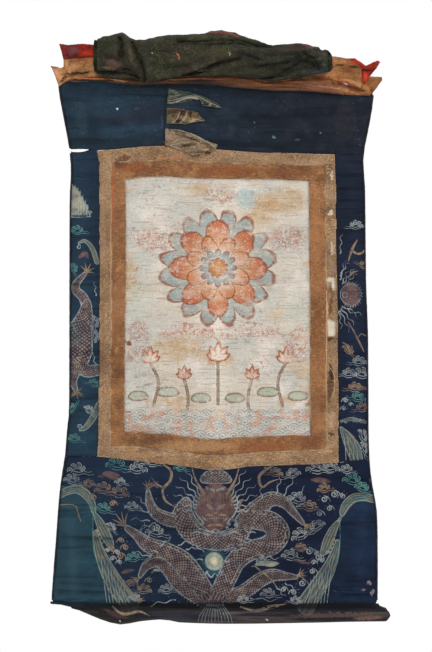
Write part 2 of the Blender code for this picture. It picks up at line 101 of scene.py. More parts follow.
# %% [markdown]
# The camera stands straight in front, as in the photograph: a long lens, so that the cloth's
# edges stay parallel. The view is as tall as 652 pixels. The world is white, and a big soft
# lamp on the upper right draws out the folds. The floor is pale and well below the hem.
# %% Camera, floor and light
LENS = 85
SENSOR = 36
FRAME_HEIGHT_PX = 652
DISTANCE = FRAME_HEIGHT_PX * PIXEL * LENS / SENSOR
CENTRE = at(216, 326)

scene = bpy.context.scene
scene.view_settings.view_transform = "Standard"
camera = bpy.data.objects.new("camera", bpy.data.cameras.new("camera"))
scene.collection.objects.link(camera)
camera.data.lens = LENS
camera.data.sensor_width = SENSOR
camera.location = (CENTRE[0], -DISTANCE, CENTRE[1])
camera.rotation_euler = (math.radians(90), 0, 0)
scene.camera = camera

world = bpy.data.worlds.new("studio")
scene.world = world
world.use_nodes = True
WHITE = (1.0, 1.0, 1.0, 1.0)
world.node_tree.nodes["Background"].inputs["Color"].default_value = WHITE
world.node_tree.nodes["Background"].inputs["Strength"].default_value = 1.0


def lamp(name, place, aim, size, watts):
    """A soft square lamp at a place, turned towards what it lights."""
    light = bpy.data.lights.new(name, "AREA")
    light.size = size
    light.energy = watts
    holder = bpy.data.objects.new(name, light)
    holder.location = place
    holder.rotation_euler = (Vector(aim) - Vector(place)).to_track_quat("-Z", "Y").to_euler()
    scene.collection.objects.link(holder)


lamp("key_lamp", (1.9, -1.6, 0.9), (0, 0, -0.7), 1.2, 20)
print("camera", round(DISTANCE, 3), "m in front")

# %% [markdown]
# A cloth's colour is a sum: dye, plus fading, minus dirt, times the weave. Node graphs make such
# sums hard to read, so one small class wraps a socket and lets Python's own signs add the Math
# nodes. A second one, the dye vat, makes every other node and closes the recipe with the
# shader. Numbers that don't change over the cloth are set on the shader itself.
# %% Sums on sockets


class Wire:
    """One socket in a dye vat; sums on it add Math nodes to the vat."""

    def __init__(self, vat, socket):
        self.vat = vat
        self.socket = socket

    def math(self, operation, *others):
        sockets = dict(enumerate((self, *others)))
        return self.vat.node("ShaderNodeMath", {"operation": operation}, sockets)

    def __add__(self, other):
        return self.math("ADD", other)

    __radd__ = __add__

    def __sub__(self, other):
        return self.math("SUBTRACT", other)

    def __rsub__(self, other):
        return self.vat.node("ShaderNodeMath", {"operation": "SUBTRACT"}, {0: other, 1: self})

    def __mul__(self, other):
        return self.math("MULTIPLY", other)

    __rmul__ = __mul__

    def __truediv__(self, other):
        return self.math("DIVIDE", other)

    def __abs__(self):
        return self.math("ABSOLUTE")

    def least(self, other):
        return self.math("MINIMUM", other)

    def wave(self):
        """Sine of this value."""
        return self.math("SINE")

    def part(self):
        """What is left after the whole number."""
        return self.math("FRACT")

    def power(self, exponent):
        return self.math("POWER", exponent)

    def root(self):
        return self.math("SQRT")

    def bearing(self, across):
        """The angle of the place whose height is this value and whose width is across."""
        return self.math("ARCTAN2", across)

    def soft(self, low, high, start=0.0, end=1.0):
        """Goes softly from start to end as this value goes from low to high."""
        sockets = {"Value": self, "From Min": low, "From Max": high, "To Min": start, "To Max": end}
        return self.vat.node("ShaderNodeMapRange", {"interpolation_type": "SMOOTHSTEP"}, sockets)

    def fall(self, low, high):
        """Goes softly from 1 to 0 as this value goes from low to high."""
        return self.soft(low, high, 1.0, 0.0)


# %% [markdown]
# A dyer keeps one vat for each cloth. Here a vat is one material: it knows the place on the
# cloth, lends out noise, scattered points and painted layers, and mixes the dyes in their order.
# Marks are the stains of handling, damp and smoke, each put where the photograph shows it. Some marks
# are painted shade in creases and painted highlights on fold ridges, and the folds also get painted
# shade in their troughs and painted highlight on their ridges.
# %% The dye vat


def dye(red, green, blue):
    """A colour as the eye sees it, 0 to 255, as the renderer's linear numbers."""
    def linear(step):
        part = step / 255
        return part / 12.92 if part <= 0.04045 else ((part + 0.055) / 1.055) ** 2.4
    return (linear(red), linear(green), linear(blue), 1.0)


class Vat:
    """One cloth's material, cooked from nodes."""

    def __init__(self, name):
        self.material = bpy.data.materials.new(name)
        self.material.use_nodes = True
        self.tree = self.material.node_tree
        self.tree.nodes.clear()
        self.torn = []
        self.place = self.node("ShaderNodeTexCoord", out="Object")
        apart = self.node("ShaderNodeSeparateXYZ", sockets={0: self.place})
        self.across = apart
        self.forward = Wire(self, apart.socket.node.outputs[1])
        self.up = Wire(self, apart.socket.node.outputs[2])

    def node(self, kind, settings=(), sockets=(), out=0):
        made = self.tree.nodes.new(kind)
        for name, value in dict(settings).items():
            setattr(made, name, value)
        for key, value in dict(sockets).items():
            if isinstance(value, Wire):
                self.tree.links.new(value.socket, made.inputs[key])
            else:
                made.inputs[key].default_value = value
        return Wire(self, made.outputs[out])

    def stretched(self, x, y, z, turn=0.0):
        """The place on the cloth, turned in its plane and then multiplied by x, y and z."""
        sockets = {"Vector": self.place, "Rotation": (0, turn, 0), "Scale": (x, y, z)}
        return self.node("ShaderNodeMapping", {"vector_type": "POINT"}, sockets)

    def noise(self, where, scale, detail=3.0, rough=0.55, twist=0.0):
        """Smooth noise from 0 to 1, mostly near the middle."""
        sockets = {"Vector": where, "Scale": scale, "Detail": detail, "Roughness": rough,
                   "Distortion": twist}
        return self.node("ShaderNodeTexNoise", sockets=sockets)

    def clouds(self, scale, *ways):
        """Noise that is as fine in every direction: its scale, detail, roughness and twist."""
        return self.noise(self.place, scale, *ways)

    def streaks(self, x, y, z, *ways):
        """Noise drawn out: x, y and z say how fine it is each way."""
        return self.noise(self.stretched(x, y, z), 1.0, *ways)

    def cells(self, where, scale):
        """Distance to the nearest of many scattered points."""
        return self.node("ShaderNodeTexVoronoi", sockets={"Vector": where, "Scale": scale})

    def beyond(self, start, end, *strengths):
        """0 at one pixel of the photograph across the cloth, and 1 at another and beyond it."""
        return self.across.soft(at(start, 0)[0], at(end, 0)[0], *strengths)

    def layer(self, name):
        """A number that was painted on the cloth's own points."""
        return self.node("ShaderNodeAttribute", {"attribute_name": name}, out="Fac")

    def mix(self, mask, first, second):
        """The first colour where the mask is 0, and the second where it is 1."""
        settings = {"data_type": "RGBA", "clamp_factor": True}
        return self.node("ShaderNodeMix", settings, {0: mask, 6: first, 7: second}, out=2)

    def spot(self, px, py, wide, tall, turn=0.0, ragged=1.0):
        """1 inside a ragged, mottled mark at a pixel of the photograph, 0 outside."""
        if not self.torn:
            self.torn = [self.streaks(*scales, 5, 0.7) - 0.5
                         for scales in ((70, 70, 95), (90, 90, 62))]
            self.mottle = self.clouds(210, 3, 0.7).soft(0.3, 0.56, 0.45, 1.0)
        x, z = at(px, py)
        right, rise = math.cos(math.radians(turn)), math.sin(math.radians(turn))
        reach = ragged * 5.0 * PIXEL
        across = self.across - x + self.torn[0] * (reach * min(3.0, 0.8 + wide * 0.5))
        up = self.up - z + self.torn[1] * (reach * min(3.0, 0.5 + tall * 0.5))
        long = (across * right + up * rise) / (wide * PIXEL)
        short = (up * right - across * rise) / (tall * PIXEL)
        return (long * long + short * short).fall(0.35, 1.3) * self.mottle

    def marks(self, colour, rows, ragged=1.0):
        """Adds rows of marks, mostly stains, in places painted crease shade and painted highlights:
        (px, py, wide, tall, turn, tone, strength).
        """
        for px, py, wide, tall, turn, tone, strength in rows:
            stain = self.spot(px, py, wide, tall, turn, ragged) * strength
            colour = self.mix(stain, colour, dye(*tone))
        return colour

    def fold_shade_and_dust(self, colour, depth=0.3, grain=0.16):
        """Paints shade into the troughs of folds and a highlight on their ridges, and adds the fine
        grain of dust.
        """
        fold = self.layer("fold").soft(-2.4, 2.4, 1 - depth, 1 + depth)
        dust = self.clouds(330, 3, 0.7).soft(0.3, 0.7, 1 - grain, 1 + grain)
        return self.dim(colour, fold * dust)

    def dim(self, colour, amount):
        """The colour made darker or lighter by a wire or number."""
        grey = self.node("ShaderNodeCombineXYZ", sockets={0: amount, 1: amount, 2: amount})
        return self.node("ShaderNodeVectorMath", {"operation": "MULTIPLY"}, {0: colour, 1: grey})

    def cook(self, colour, rough, height, depth, sheen=0.0, gloss=0.3):
        """Joins the colour, roughness and relief to the shader, and returns the material."""
        relief = self.node("ShaderNodeBump", sockets={"Distance": depth, "Height": height})
        shader = self.node("ShaderNodeBsdfPrincipled", sockets={
            "Base Color": colour, "Roughness": rough, "Normal": relief,
            "Specular IOR Level": gloss, "Sheen Weight": sheen, "Sheen Roughness": 0.5})
        last = self.tree.nodes.new("ShaderNodeOutputMaterial")
        self.tree.links.new(shader.socket, last.inputs["Surface"])
        return self.material


print("silk blue as numbers", [round(part, 3) for part in dye(35, 50, 65)[:3]])

# %% [markdown]
# The floor is only there for the views from other sides. It is a pale sheet under the hem, one
# grid from an operator, and it is marked as stage, so it doesn't count as a part of the scroll.
# %% Pale floor
FLOOR_DOWN = 2.6
floor_bm = bmesh.new()
bmesh.ops.create_grid(floor_bm, x_segments=1, y_segments=1, size=2.2)
bmesh.ops.translate(floor_bm, verts=floor_bm.verts, vec=(0, 0, -FLOOR_DOWN))
floor_mesh = bpy.data.meshes.new("floor")
floor_bm.to_mesh(floor_mesh)
vat = Vat("pale_floor_boards")
scuffs = vat.streaks(1.5, 9, 9, 5, 0.6)
board = vat.mix(scuffs.soft(0.35, 0.7), dye(232, 229, 224), dye(214, 209, 201))
floor_mesh.materials.append(vat.cook(board, 0.7 + scuffs * 0.2, scuffs, depth=0.5 * MM))
floor_bm.free()
floor = bpy.data.objects.new("floor", floor_mesh)
scene.collection.objects.link(floor)
floor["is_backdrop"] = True

# %% [markdown]
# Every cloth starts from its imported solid. The copy is welded, its back and rim are taken off,
# and the triangles are joined into squares, so what is left is one layer of cloth in its true
# outline and main folds. The squares are then divided until the net is as fine as the pattern
# needs, and only the forward direction is smoothed: bends turn soft and the outline stays.
# %% Lay out one layer of cloth
FACING = -0.35
ANY_ANGLE = math.pi


def weld_copy(node):
    """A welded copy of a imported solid's mesh."""
    bm = bmesh.new()
    bm.from_mesh(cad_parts[node].data)
    bmesh.ops.remove_doubles(bm, verts=bm.verts, dist=WELD)
    return bm


def net(bm, size):
    """Joins triangles into squares and divides them until the net's threads lie size apart."""
    bmesh.ops.join_triangles(bm, faces=bm.faces, angle_face_threshold=ANY_ANGLE,
                             angle_shape_threshold=ANY_ANGLE)
    for lying in (True, False):
        chosen = []
        for edge in bm.edges:
            run = edge.verts[1].co - edge.verts[0].co
            if (abs(run.x) > max(abs(run.y), abs(run.z))) == lying:
                chosen.append(edge)
        lengths = sorted(edge.calc_length() for edge in chosen)
        cuts = max(0, round(lengths[len(lengths) // 2] / size) - 1)
        if cuts:
            bmesh.ops.subdivide_edges(bm, edges=chosen, cuts=cuts, use_grid_fill=True)


def soften(bm, rounds):
    """Smooths the cloth's bends without touching its outline."""
    for _ in range(rounds):
        bmesh.ops.smooth_vert(bm, verts=bm.verts, factor=0.5, use_axis_y=True)


def lay_out(node, size, rounds=24):
    """The front of a packed cloth as a fine net of one layer."""
    bm = weld_copy(node)
    behind = [face for face in bm.faces if face.normal.y > FACING]
    bmesh.ops.delete(bm, geom=behind, context="FACES")
    net(bm, size)
    soften(bm, rounds)
    return bm


# %% [markdown]
# A cut edge is never ruled with a ruler. The outline is eased so that it runs in one soft line
# between its corners, then moved out a little so that sewn neighbours meet, and last shaken by
# smooth noise, which reads as fraying. How much it is shaken says how worn the cloth is.
# %% Ease and fray the cut edges
CORNER = math.radians(28)


def rim_of(bm):
    """Each point of the cut edge, with its two neighbours along it."""
    rim = {}
    for edge in bm.edges:
        if edge.is_boundary:
            for vert in edge.verts:
                rim.setdefault(vert, []).append(edge)
    return {vert: edges for vert, edges in rim.items() if len(edges) == 2}


def trim(bm, outward=0.6 * MM, fray=0.4 * MM, scale=160.0, rounds=14, tuck=(0.0, 0.0)):
    """Eases the cut edge, moves it outward and frays it. tuck widens it to the left and right."""
    rim = rim_of(bm)
    free = []
    for vert, (first, second) in rim.items():
        before = vert.co - first.other_vert(vert).co
        after = second.other_vert(vert).co - vert.co
        if before.angle(after) < CORNER:
            free.append((vert, first.other_vert(vert), second.other_vert(vert)))
    for _ in range(rounds):
        goals = [(vert, vert.co.lerp((one.co + two.co) / 2, 0.5)) for vert, one, two in free]
        for vert, goal in goals:
            vert.co = goal
    moves = []
    for vert, edges in rim.items():
        push = Vector()
        for edge in edges:
            run = (edge.verts[1].co - edge.verts[0].co).normalized()
            inward = edge.link_faces[0].calc_center_median() - vert.co
            push -= (inward - run * inward.dot(run)).normalized()
        push.normalize()
        extra = tuck[0] if push.x < -0.7 else tuck[1] if push.x > 0.7 else 0.0
        shake = noise.noise_vector(vert.co * scale)
        moves.append((vert, push * (outward + extra + fray * shake.x) + shake * fray * 0.4))
    for vert, move in moves:
        vert.co += Vector((move.x, 0, move.z))


# %% [markdown]
# Small creases are laid in rows: where each starts and ends on the photograph, how
# wide it is in pixels, and how many millimetres it comes forward, or goes back when negative.
# Each row is a soft ridge that fades out past its ends, as pressed cloth does.
# %% Press creases into the cloth


def relief(across, up, rows):
    """How far forward the rows of creases bring each point, in metres."""
    total = numpy.zeros(len(across))
    for start_x, start_y, end_x, end_y, width, forward in rows:
        start = numpy.array(at(start_x, start_y))
        run = numpy.array(at(end_x, end_y)) - start
        along = ((across - start[0]) * run[0] + (up - start[1]) * run[1]) / (run @ run)
        along = numpy.clip(along, 0, 1)
        away = numpy.hypot(across - start[0] - along * run[0], up - start[1] - along * run[1])
        total += forward * MM * numpy.exp(-(away / (width * PIXEL)) ** 2)
    return total


def paint(bm, name, values):
    """Gives each point of a cloth its number, in a layer that the dyes read back by name."""
    layer = bm.verts.layers.float.new(name)
    for vert, value in zip(bm.verts, values):
        vert[layer] = value


def press(bm, rows, crumple, grain):
    """Presses the rows into the cloth, with a little smooth crumpling between them."""
    places = numpy.array([vert.co for vert in bm.verts])
    lift = relief(places[:, 0], places[:, 2], rows)
    for number, vert in enumerate(bm.verts):
        where = Vector((vert.co.x * grain[0], 0, vert.co.z * grain[1]))
        lift[number] += crumple * noise.fractal(where, 1.0, 2.0, 4)
        vert.co.y -= lift[number]
    paint(bm, "fold", lift / MM)


# %% [markdown]
# When the layer is ready it becomes a piece. A Solidify modifier gives it the thickness of its
# cloth, towards the back. The piece rides on the scroll's one body and takes the place of its
# imported solid, which is hidden; the size it was cut to before it was sewn in is printed.
# %% Hang a finished cloth


def show(name, bm, material, thick=0.0):
    """Makes a piece of a finished bmesh, smooth, with its place in its mesh."""
    mesh = bpy.data.meshes.new(name)
    bm.to_mesh(mesh)
    bm.free()
    mesh.shade_smooth()
    mesh.materials.append(material)
    piece = bpy.data.objects.new(name, mesh)
    scene.collection.objects.link(piece)
    if thick:
        body = piece.modifiers.new("thickness", "SOLIDIFY")
        body.thickness = thick
        body.offset = -1
    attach(piece, "root")
    return piece


def hang(name, bm, node, material, flat, thick=0.8 * MM):
    """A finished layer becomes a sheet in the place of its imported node."""
    squares = len(bm.faces)
    laid = sum(face.calc_area() for face in bm.faces)
    piece = show(name, bm, material, thick)
    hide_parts(node)
    print(name, squares, "squares,", round(laid, 4), "m2 of cloth, cut", flat)
    return piece


# %% [markdown]
# Wear follows the cut edge of a cloth, and so does dirt. So each point of a cloth learns how far
# it is from the nearest edge, kept as a layer of numbers named rim, which the dyes read back.
# %% Measure how far each point is from the cut edge
from mathutils.kdtree import KDTree

RIM_REACH = 40 * MM


def measure_rim(bm):
    """Paints the layer rim: the distance to the nearest cut edge, up to the reach."""
    edge_points = [vert.co.copy() for vert in rim_of(bm)]
    tree = KDTree(len(edge_points))
    for index, point in enumerate(edge_points):
        tree.insert(point, index)
    tree.balance()
    paint(bm, "rim", [min(RIM_REACH, tree.find(vert.co)[2]) for vert in bm.verts])


# %% [markdown]
# The mount is a blue silk of dragons over waves, dyed with indigo. Light has bleached it to teal
# at the lower left, and it has stayed nearly navy on the right. Its sheen is low, and it has
# fine wrinkles that run across it, with painted shade in them. The weave is a twill: ribs of thread at
# a slant. One recipe serves all the silk, with or without its woven pattern, so the panels match.
# %% Dye the blue silk
TWILL = 2 * math.pi / (1.5 * MM)


def blue_ground(vat):
    """The faded indigo of the mount, before pattern and dirt."""
    right = vat.across.soft(-0.46, 0.34)
    low = vat.up.soft(-0.35, -1.35)
    top = vat.mix(right, dye(32, 49, 62), dye(27, 32, 42))
    foot = vat.mix(right, dye(33, 60, 72), dye(21, 35, 56))
    ground = vat.mix(low, top, foot)
    mottle = vat.streaks(2.5, 2.5, 7, 6, 0.62).soft(0.3, 0.72, 0.74, 1.28)
    worn = vat.streaks(16, 16, 30, 5, 0.7).soft(0.36, 0.66, 0.84, 1.2)
    return vat.dim(ground, mottle * worn)


def silk_wrinkles(vat):
    """Fine wrinkles that run across the cloth, 1 where a wrinkle lies."""
    lines = vat.streaks(3.2, 3.2, 52, 5, 0.6, 0.4)
    return lines.soft(0.53, 0.66)


def twill(vat):
    """Slanting ribs of thread, 0 to 1."""
    return (vat.across * TWILL + vat.up * (TWILL * 0.7)).wave() * 0.5 + 0.5


SILK_MARKS = (
    (117, 109, 1.5, 1.2, 0, (214, 220, 224), 1.0), (138, 109, 4, 1.2, 10, (84, 98, 112), 0.5),
    (274, 137, 1.6, 1.2, 0, (96, 132, 136), 0.9), (254, 123, 1.4, 1.0, 0, (92, 116, 124), 0.7),
    (320, 133, 1.6, 0.9, 0, (98, 128, 132), 0.7), (297, 140, 3, 1.0, 10, (74, 88, 106), 0.6),
    (130, 132, 6, 1.6, 12, (16, 20, 28), 0.4), (82, 120, 6, 18, 5, (52, 72, 84), 0.3),
    (120, 118, 26, 5, -4, (46, 50, 62), 0.5), (345, 120, 12, 20, 0, (46, 46, 52), 0.5),
    (150, 112, 22, 9, 6, (36, 40, 54), 0.5), (162, 122, 1.4, 7, 4, (74, 90, 104), 0.3),
)


def plain_silk(name):
    """The silk without its pattern: ground, wrinkles with painted shade in them, painted shade and
    highlight on its folds, rubbed and grey places, lint and stains.
    """
    vat = Vat(name)
    wrinkles = silk_wrinkles(vat)
    ribs = twill(vat)
    # Painted shade in the wrinkles; the twill ribs are a little darker.
    colour = vat.dim(blue_ground(vat), 1.08 - wrinkles * 0.36 - ribs * 0.12)
    rub = vat.streaks(14, 14, 30, 7, 0.7).soft(0.58, 0.78)
    colour = vat.mix(rub * 0.4, colour, dye(78, 90, 98))
    grey = vat.clouds(16, 4, 0.65).soft(0.54, 0.7)
    colour = vat.mix(grey * 0.28, colour, dye(58, 58, 68))
    lint = vat.cells(vat.place, 70).fall(0.05, 0.11)
    lint = lint * vat.clouds(9, 1).soft(0.5, 0.6)
    colour = vat.mix(lint * 0.5, colour, dye(130, 138, 142))
    # Stains, then painted shade in the fold troughs and painted highlight on their ridges, with dust.
    colour = vat.fold_shade_and_dust(vat.marks(colour, SILK_MARKS), 0.34, 0.2)
    edge = vat.layer("rim").soft(0.0, 9 * MM, 0.5, 0.0)
    colour = vat.mix(edge, colour, dye(24, 26, 32))
    height = ribs * 0.25 - wrinkles + rub * 0.3
    return vat.cook(colour, 0.72 - rub * 0.1, height, depth=0.7 * MM, sheen=0.03, gloss=0.1)


upper_dye = plain_silk("upper_silk_cloth")

# %% [markdown]
# Two lengths of plain-looking silk meet at the upright seam, left of the middle. Their upper edge
# goes on under the rolled lip, and their outer edges go on inside the binding, so no gap shows
# where two cloths are sewn together. Their creases run mostly across.
# %% Lay out the two upper panels
TOP_CREASES = [
    (70, 103, 160, 99, 3.2, 1.5), (66, 118, 120, 122, 4, -1.6), (100, 131, 163, 128, 3, 1.3),
    (70, 141, 140, 143, 3, -1.2), (215, 101, 300, 106, 3.5, 1.6), (240, 118, 365, 113, 3, -1.5),
    (225, 128, 330, 133, 3.4, 1.3), (300, 104, 370, 101, 3, 1.4), (208, 141, 300, 146, 3, -1.2),
    (166, 86, 166, 150, 1.6, 1.0),
]
IN_BINDING = 2.6 * MM
UNDER_LIP = 4.5 * PIXEL
for name, node, flat, tuck in (
        ("upper_silk_left", "top_panel_left", (0.305, 0.2), (IN_BINDING, 0)),
        ("upper_silk_right", "top_panel_right", (0.605, 0.205), (0, IN_BINDING))):
    bm = lay_out(node, 4.2 * MM)
    for vert in bm.verts:
        py = pixel(vert.co)[1]
        vert.co.z += UNDER_LIP * ramp((100 - py) / 14)
    trim(bm, outward=0.7 * MM, fray=0.5 * MM, tuck=tuck)
    press(bm, TOP_CREASES, crumple=1.1 * MM, grain=(7.0, 24.0))
    measure_rim(bm)
    hang(name, bm, node, upper_dye, flat)

# %% [markdown]
# The silk's pattern is woven: a dragon in front view with its coils, a flaming pearl, clouds
# with curled heads, and waves that break on striped rocks, all traditional figures. A woven
# pattern lies in the cloth and follows its folds, so it isn't modelled on top. Instead each
# motif is a soft line through a few points of our own, with a width, and every point of the
# cloth's net learns how deep it lies inside that line. The dye turns depth into thread. This
# keeps edges crisp between the net's points, as a type designer's distance fields do.
# %% Draw soft lines with a width
STEP = 1.1
OUTSIDE = -4.0


def run(*points):
    """A smooth line through points of (x, y, half width), in the photograph's pixels."""
    rows = numpy.array(points, float)
    ends = numpy.vstack([2 * rows[:1] - rows[1:2], rows, 2 * rows[-1:] - rows[-2:-1]])
    pieces = []
    for before, start, end, after in zip(ends[:-3], ends[1:-2], ends[2:-1], ends[3:]):
        count = max(2, math.ceil(math.hypot(*(end - start)[:2]) / STEP))
        t = numpy.linspace(0, 1, count, endpoint=False)[:, None]
        pieces.append(0.5 * (2 * start + (end - before) * t
                             + (2 * before - 5 * start + 4 * end - after) * t ** 2
                             + (3 * start - before - 3 * end + after) * t ** 3))
    line = numpy.vstack([*pieces, rows[-1:]])
    line[:, 2] = numpy.maximum(line[:, 2], 0.12)
    return line


def curl(x, y, radius, turns=1.4, start=0.0, hand=1, width=0.42, keep=0.18):
    """A spiral that winds in to a part, keep, of its radius, as at the head of a wave."""
    t = numpy.linspace(0, 1, max(8, int(turns * 12)))
    angle = math.radians(start) + hand * t * turns * 2 * math.pi
    r = radius * (1 - (1 - keep) * t)
    wide = width * (1 + 0.5 * t)
    return numpy.column_stack([x + r * numpy.cos(angle), y - r * numpy.sin(angle), wide])


def ripple(x, y, length, heading, waves=2.5, swing=1.8, width=0.7, tip=0.15):
    """A wavy hair or flame that thins out to its tip."""
    t = numpy.linspace(0, 1, max(10, int(length / STEP)))
    turn = math.radians(heading)
    side = swing * numpy.sin(t * waves * 2 * math.pi) * (0.35 + 0.65 * t)
    return numpy.column_stack([
        x + length * t * math.cos(turn) + side * math.sin(turn),
        y - length * t * math.sin(turn) + side * math.cos(turn),
        width + (tip - width) * t])


# %% [markdown]
# One page of the pattern book holds the motifs by the thread they are woven in. Pale, tan and
# teal are lines. Brown and cream are small filled shapes. A body is a wide line that also keeps
# how far along it and to which side a point lies, for the rows of scales. A band keeps the same
# for the stripes of the waves.
# %% Keep a page of motifs and paint it on a cloth
CLOUD_LOBES = ((-0.95, -0.12, 0.36, 300), (-0.5, 0.42, 0.4, 250), (0.15, 0.62, 0.42, 200),
               (0.72, 0.3, 0.36, 150))
CLOUD_TAIL = 2.3
THREADS = ("pale", "tan", "teal")
FILLS = ("brown", "cream")


class Page:
    """The motifs of one part of the silk."""

    def __init__(self):
        self.lines = {thread: [] for thread in THREADS + FILLS}
        self.bodies = []
        self.bands = []

    def draw(self, thread, *lines):
        """Adds lines to be woven in one thread."""
        self.lines[thread].extend(lines)

    def clouds(self, thread, *rows):
        """Several clouds in one thread: (x, y, size, turn, hand)."""
        for row in rows:
            self.cloud(thread, *row)

    def cloud(self, thread, x, y, size, turn, hand):
        """A cloud of round lobes, each with a curl inside, and a tail of two lines."""
        lean = math.radians(turn)

        def spot(side, rise):
            side *= hand * size
            rise *= size
            return (x + side * math.cos(lean) + rise * math.sin(lean),
                    y + side * math.sin(lean) - rise * math.cos(lean))
        for side, rise, part, facing in CLOUD_LOBES:
            cx, cy = spot(side, rise)
            start = (facing if hand > 0 else 180 - facing) - turn
            self.draw(thread, curl(cx, cy, part * size, 0.8, start, hand, 0.42, 0.9))
            self.draw(thread, curl(cx, cy, part * size * 0.5, 1.1, start + 40, hand, 0.36))
        for drop, reach in ((-0.5, CLOUD_TAIL), (-0.16, CLOUD_TAIL * 0.86)):
            line = [spot(-0.5, drop), spot(0.3, drop - 0.12), spot(0.95, drop + 0.12),
                    spot(reach * 0.75, drop), spot(reach, drop + 0.16)]
            self.draw(thread, run(*((px, py, 0.5 - 0.08 * n) for n, (px, py) in enumerate(line))))

    def foam(self, x, y, size, hand=1, thread="pale"):
        """The crest of a wave: a curl with drops thrown off it."""
        self.draw(thread, curl(x, y, size, 1.5, 90, hand, 0.55))
        self.draw(thread, run((x, y - size, 0.5), (x - hand * size * 1.3, y - size * 0.4, 0.6),
                              (x - hand * size * 1.9, y + size * 0.7, 0.4)))
        for side, rise in ((1.2, 0.9), (0.3, 1.7), (1.6, -0.2)):
            drop = (x + hand * side * size, y - rise * size, 0.75)
            self.draw(thread, numpy.array([drop, (drop[0] + 0.2, drop[1] + 0.2, 0.5)]))

    def claws(self, x, y, heading, length=9, spread=34, count=5, thread="tan", width=1.0):
        """Long bent talons that fan out from a paw."""
        for number in range(count):
            part = number / (count - 1) - 0.5
            angle = math.radians(heading + spread * 2 * part)
            bend = math.radians(heading + spread * 2 * part * 1.55)
            reach = length * (1.0 - 0.3 * abs(part))
            knee = (x + 0.5 * reach * math.cos(angle), y - 0.5 * reach * math.sin(angle))
            end = (knee[0] + 0.6 * reach * math.cos(bend), knee[1] - 0.6 * reach * math.sin(bend))
            self.draw(thread, run((x, y, width * 1.3), (*knee, width), (*end, 0.15)))


def depth_in(spots, path):
    """Which spots lie near a line, and for those the depth in it, and the way along and across."""
    low = path[:, :2].min(0) - path[:, 2].max() + OUTSIDE
    high = path[:, :2].max(0) + path[:, 2].max() - OUTSIDE
    near = numpy.nonzero(((spots > low) & (spots < high)).all(1))[0]
    if not len(near):
        return near, None, None, None
    start = path[:-1, :2]
    way = path[1:, :2] - start
    long = numpy.maximum((way ** 2).sum(1), 1e-9)
    gap = spots[near, None, :] - start[None, :, :]
    part = numpy.clip((gap * way).sum(2) / long, 0, 1)
    off = gap - part[..., None] * way
    wide = path[:-1, 2] + part * (path[1:, 2] - path[:-1, 2])
    depth = wide - numpy.hypot(off[..., 0], off[..., 1])
    best = depth.argmax(1)
    rows = numpy.arange(len(near))
    steps = numpy.concatenate([[0], numpy.cumsum(numpy.sqrt(long))])
    along = steps[best] + part[rows, best] * numpy.sqrt(long)[best]
    cross = (way[best, 0] * gap[rows, best, 1] - way[best, 1] * gap[rows, best, 0])
    side = cross / numpy.sqrt(long)[best] / numpy.maximum(wide[rows, best], 0.1)
    return near, depth[rows, best], along, side


def spots_of(bm):
    """Where the points of a cloth lie on the photograph, in pixels."""
    places = numpy.array([vert.co for vert in bm.verts])
    return numpy.column_stack([places[:, 0] / PIXEL + MIDDLE_PX, TOP_PX - places[:, 2] / PIXEL])


def deepest(spots, lines):
    """Each spot's depth in the nearest of some lines, in pixels."""
    depth = numpy.full(len(spots), OUTSIDE)
    for line in lines:
        near, deep, _, _ = depth_in(spots, line)
        if len(near):
            depth[near] = numpy.maximum(depth[near], deep)
    return depth


def weave_page(bm, page):
    """Paints a page's motifs into layers of a cloth's points."""
    spots = spots_of(bm)
    kept = {thread: deepest(spots, page.lines[thread]) for thread in FILLS}
    for kind, wide_lines in (("body", page.bodies), ("band", page.bands)):
        depth = numpy.full(len(spots), OUTSIDE)
        length = numpy.zeros(len(spots))
        across = numpy.zeros(len(spots))
        for line in wide_lines:
            near, deep, along, side = depth_in(spots, line)
            if not len(near):
                continue
            over = deep > numpy.where(depth[near] > 0, -0.2, depth[near])
            chosen = near[over]
            depth[chosen] = deep[over]
            length[chosen] = along[over]
            across[chosen] = side[over]
        kept[kind] = depth
        kept[kind + "_along"] = length
        kept[kind + "_side"] = across
    for name, values in kept.items():
        paint(bm, name, values)
    print("wove", len(page.bodies), "coils and limbs and", len(page.bands), "bands")


# %% [markdown]
# The lower panel has the whole dragon. Its coils come first, because what is drawn later lies
# on top. The neck bows under the head, one coil swings left and one right, and both end under
# the pearl. Each limb ends in a five-clawed paw.
# %% Draw the dragon of the lower panel
low_page = Page()
low_page.bodies += [
    run((140, 576, 2), (147, 565, 4.5), (159, 561, 6), (169, 569, 7), (180, 583, 8),
        (198, 595, 8.5), (216, 601, 8)),
    run((127, 528, 3), (137, 535, 4.5), (149, 545, 7.5), (166, 551, 8.5), (183, 561, 9.5),
        (195, 576, 9.5), (205, 592, 9)),
    run((303, 523, 2), (294, 513, 3.6), (284, 502, 5.5), (271, 499, 7), (257, 508, 8),
        (243, 521, 8)),
    run((296, 577, 2), (285, 576, 4), (272, 575, 6), (260, 580, 7), (246, 590, 7),
        (230, 597, 6)),
    run((243, 524, 6), (254, 520, 9), (270, 522, 10.5), (279, 533, 10.5), (270, 545, 10.5),
        (250, 551, 9.5), (236, 561, 9.5), (228, 576, 9.5), (219, 594, 9)),
    run((148, 491, 2), (150, 503, 4), (156, 513, 5.5), (168, 519, 6.5), (182, 522, 6)),
    run((186, 502, 5), (183, 515, 10), (192, 531, 11), (208, 540, 9), (224, 541, 8.5),
        (239, 535, 8), (248, 524, 5)),
]
for x, y, heading in ((126, 527, 128), (148, 490, 82), (304, 524, -38), (297, 576, 22),
                      (139, 578, 215)):
    low_page.claws(x, y, heading, length=16 if x == 126 else 10, width=0.75)

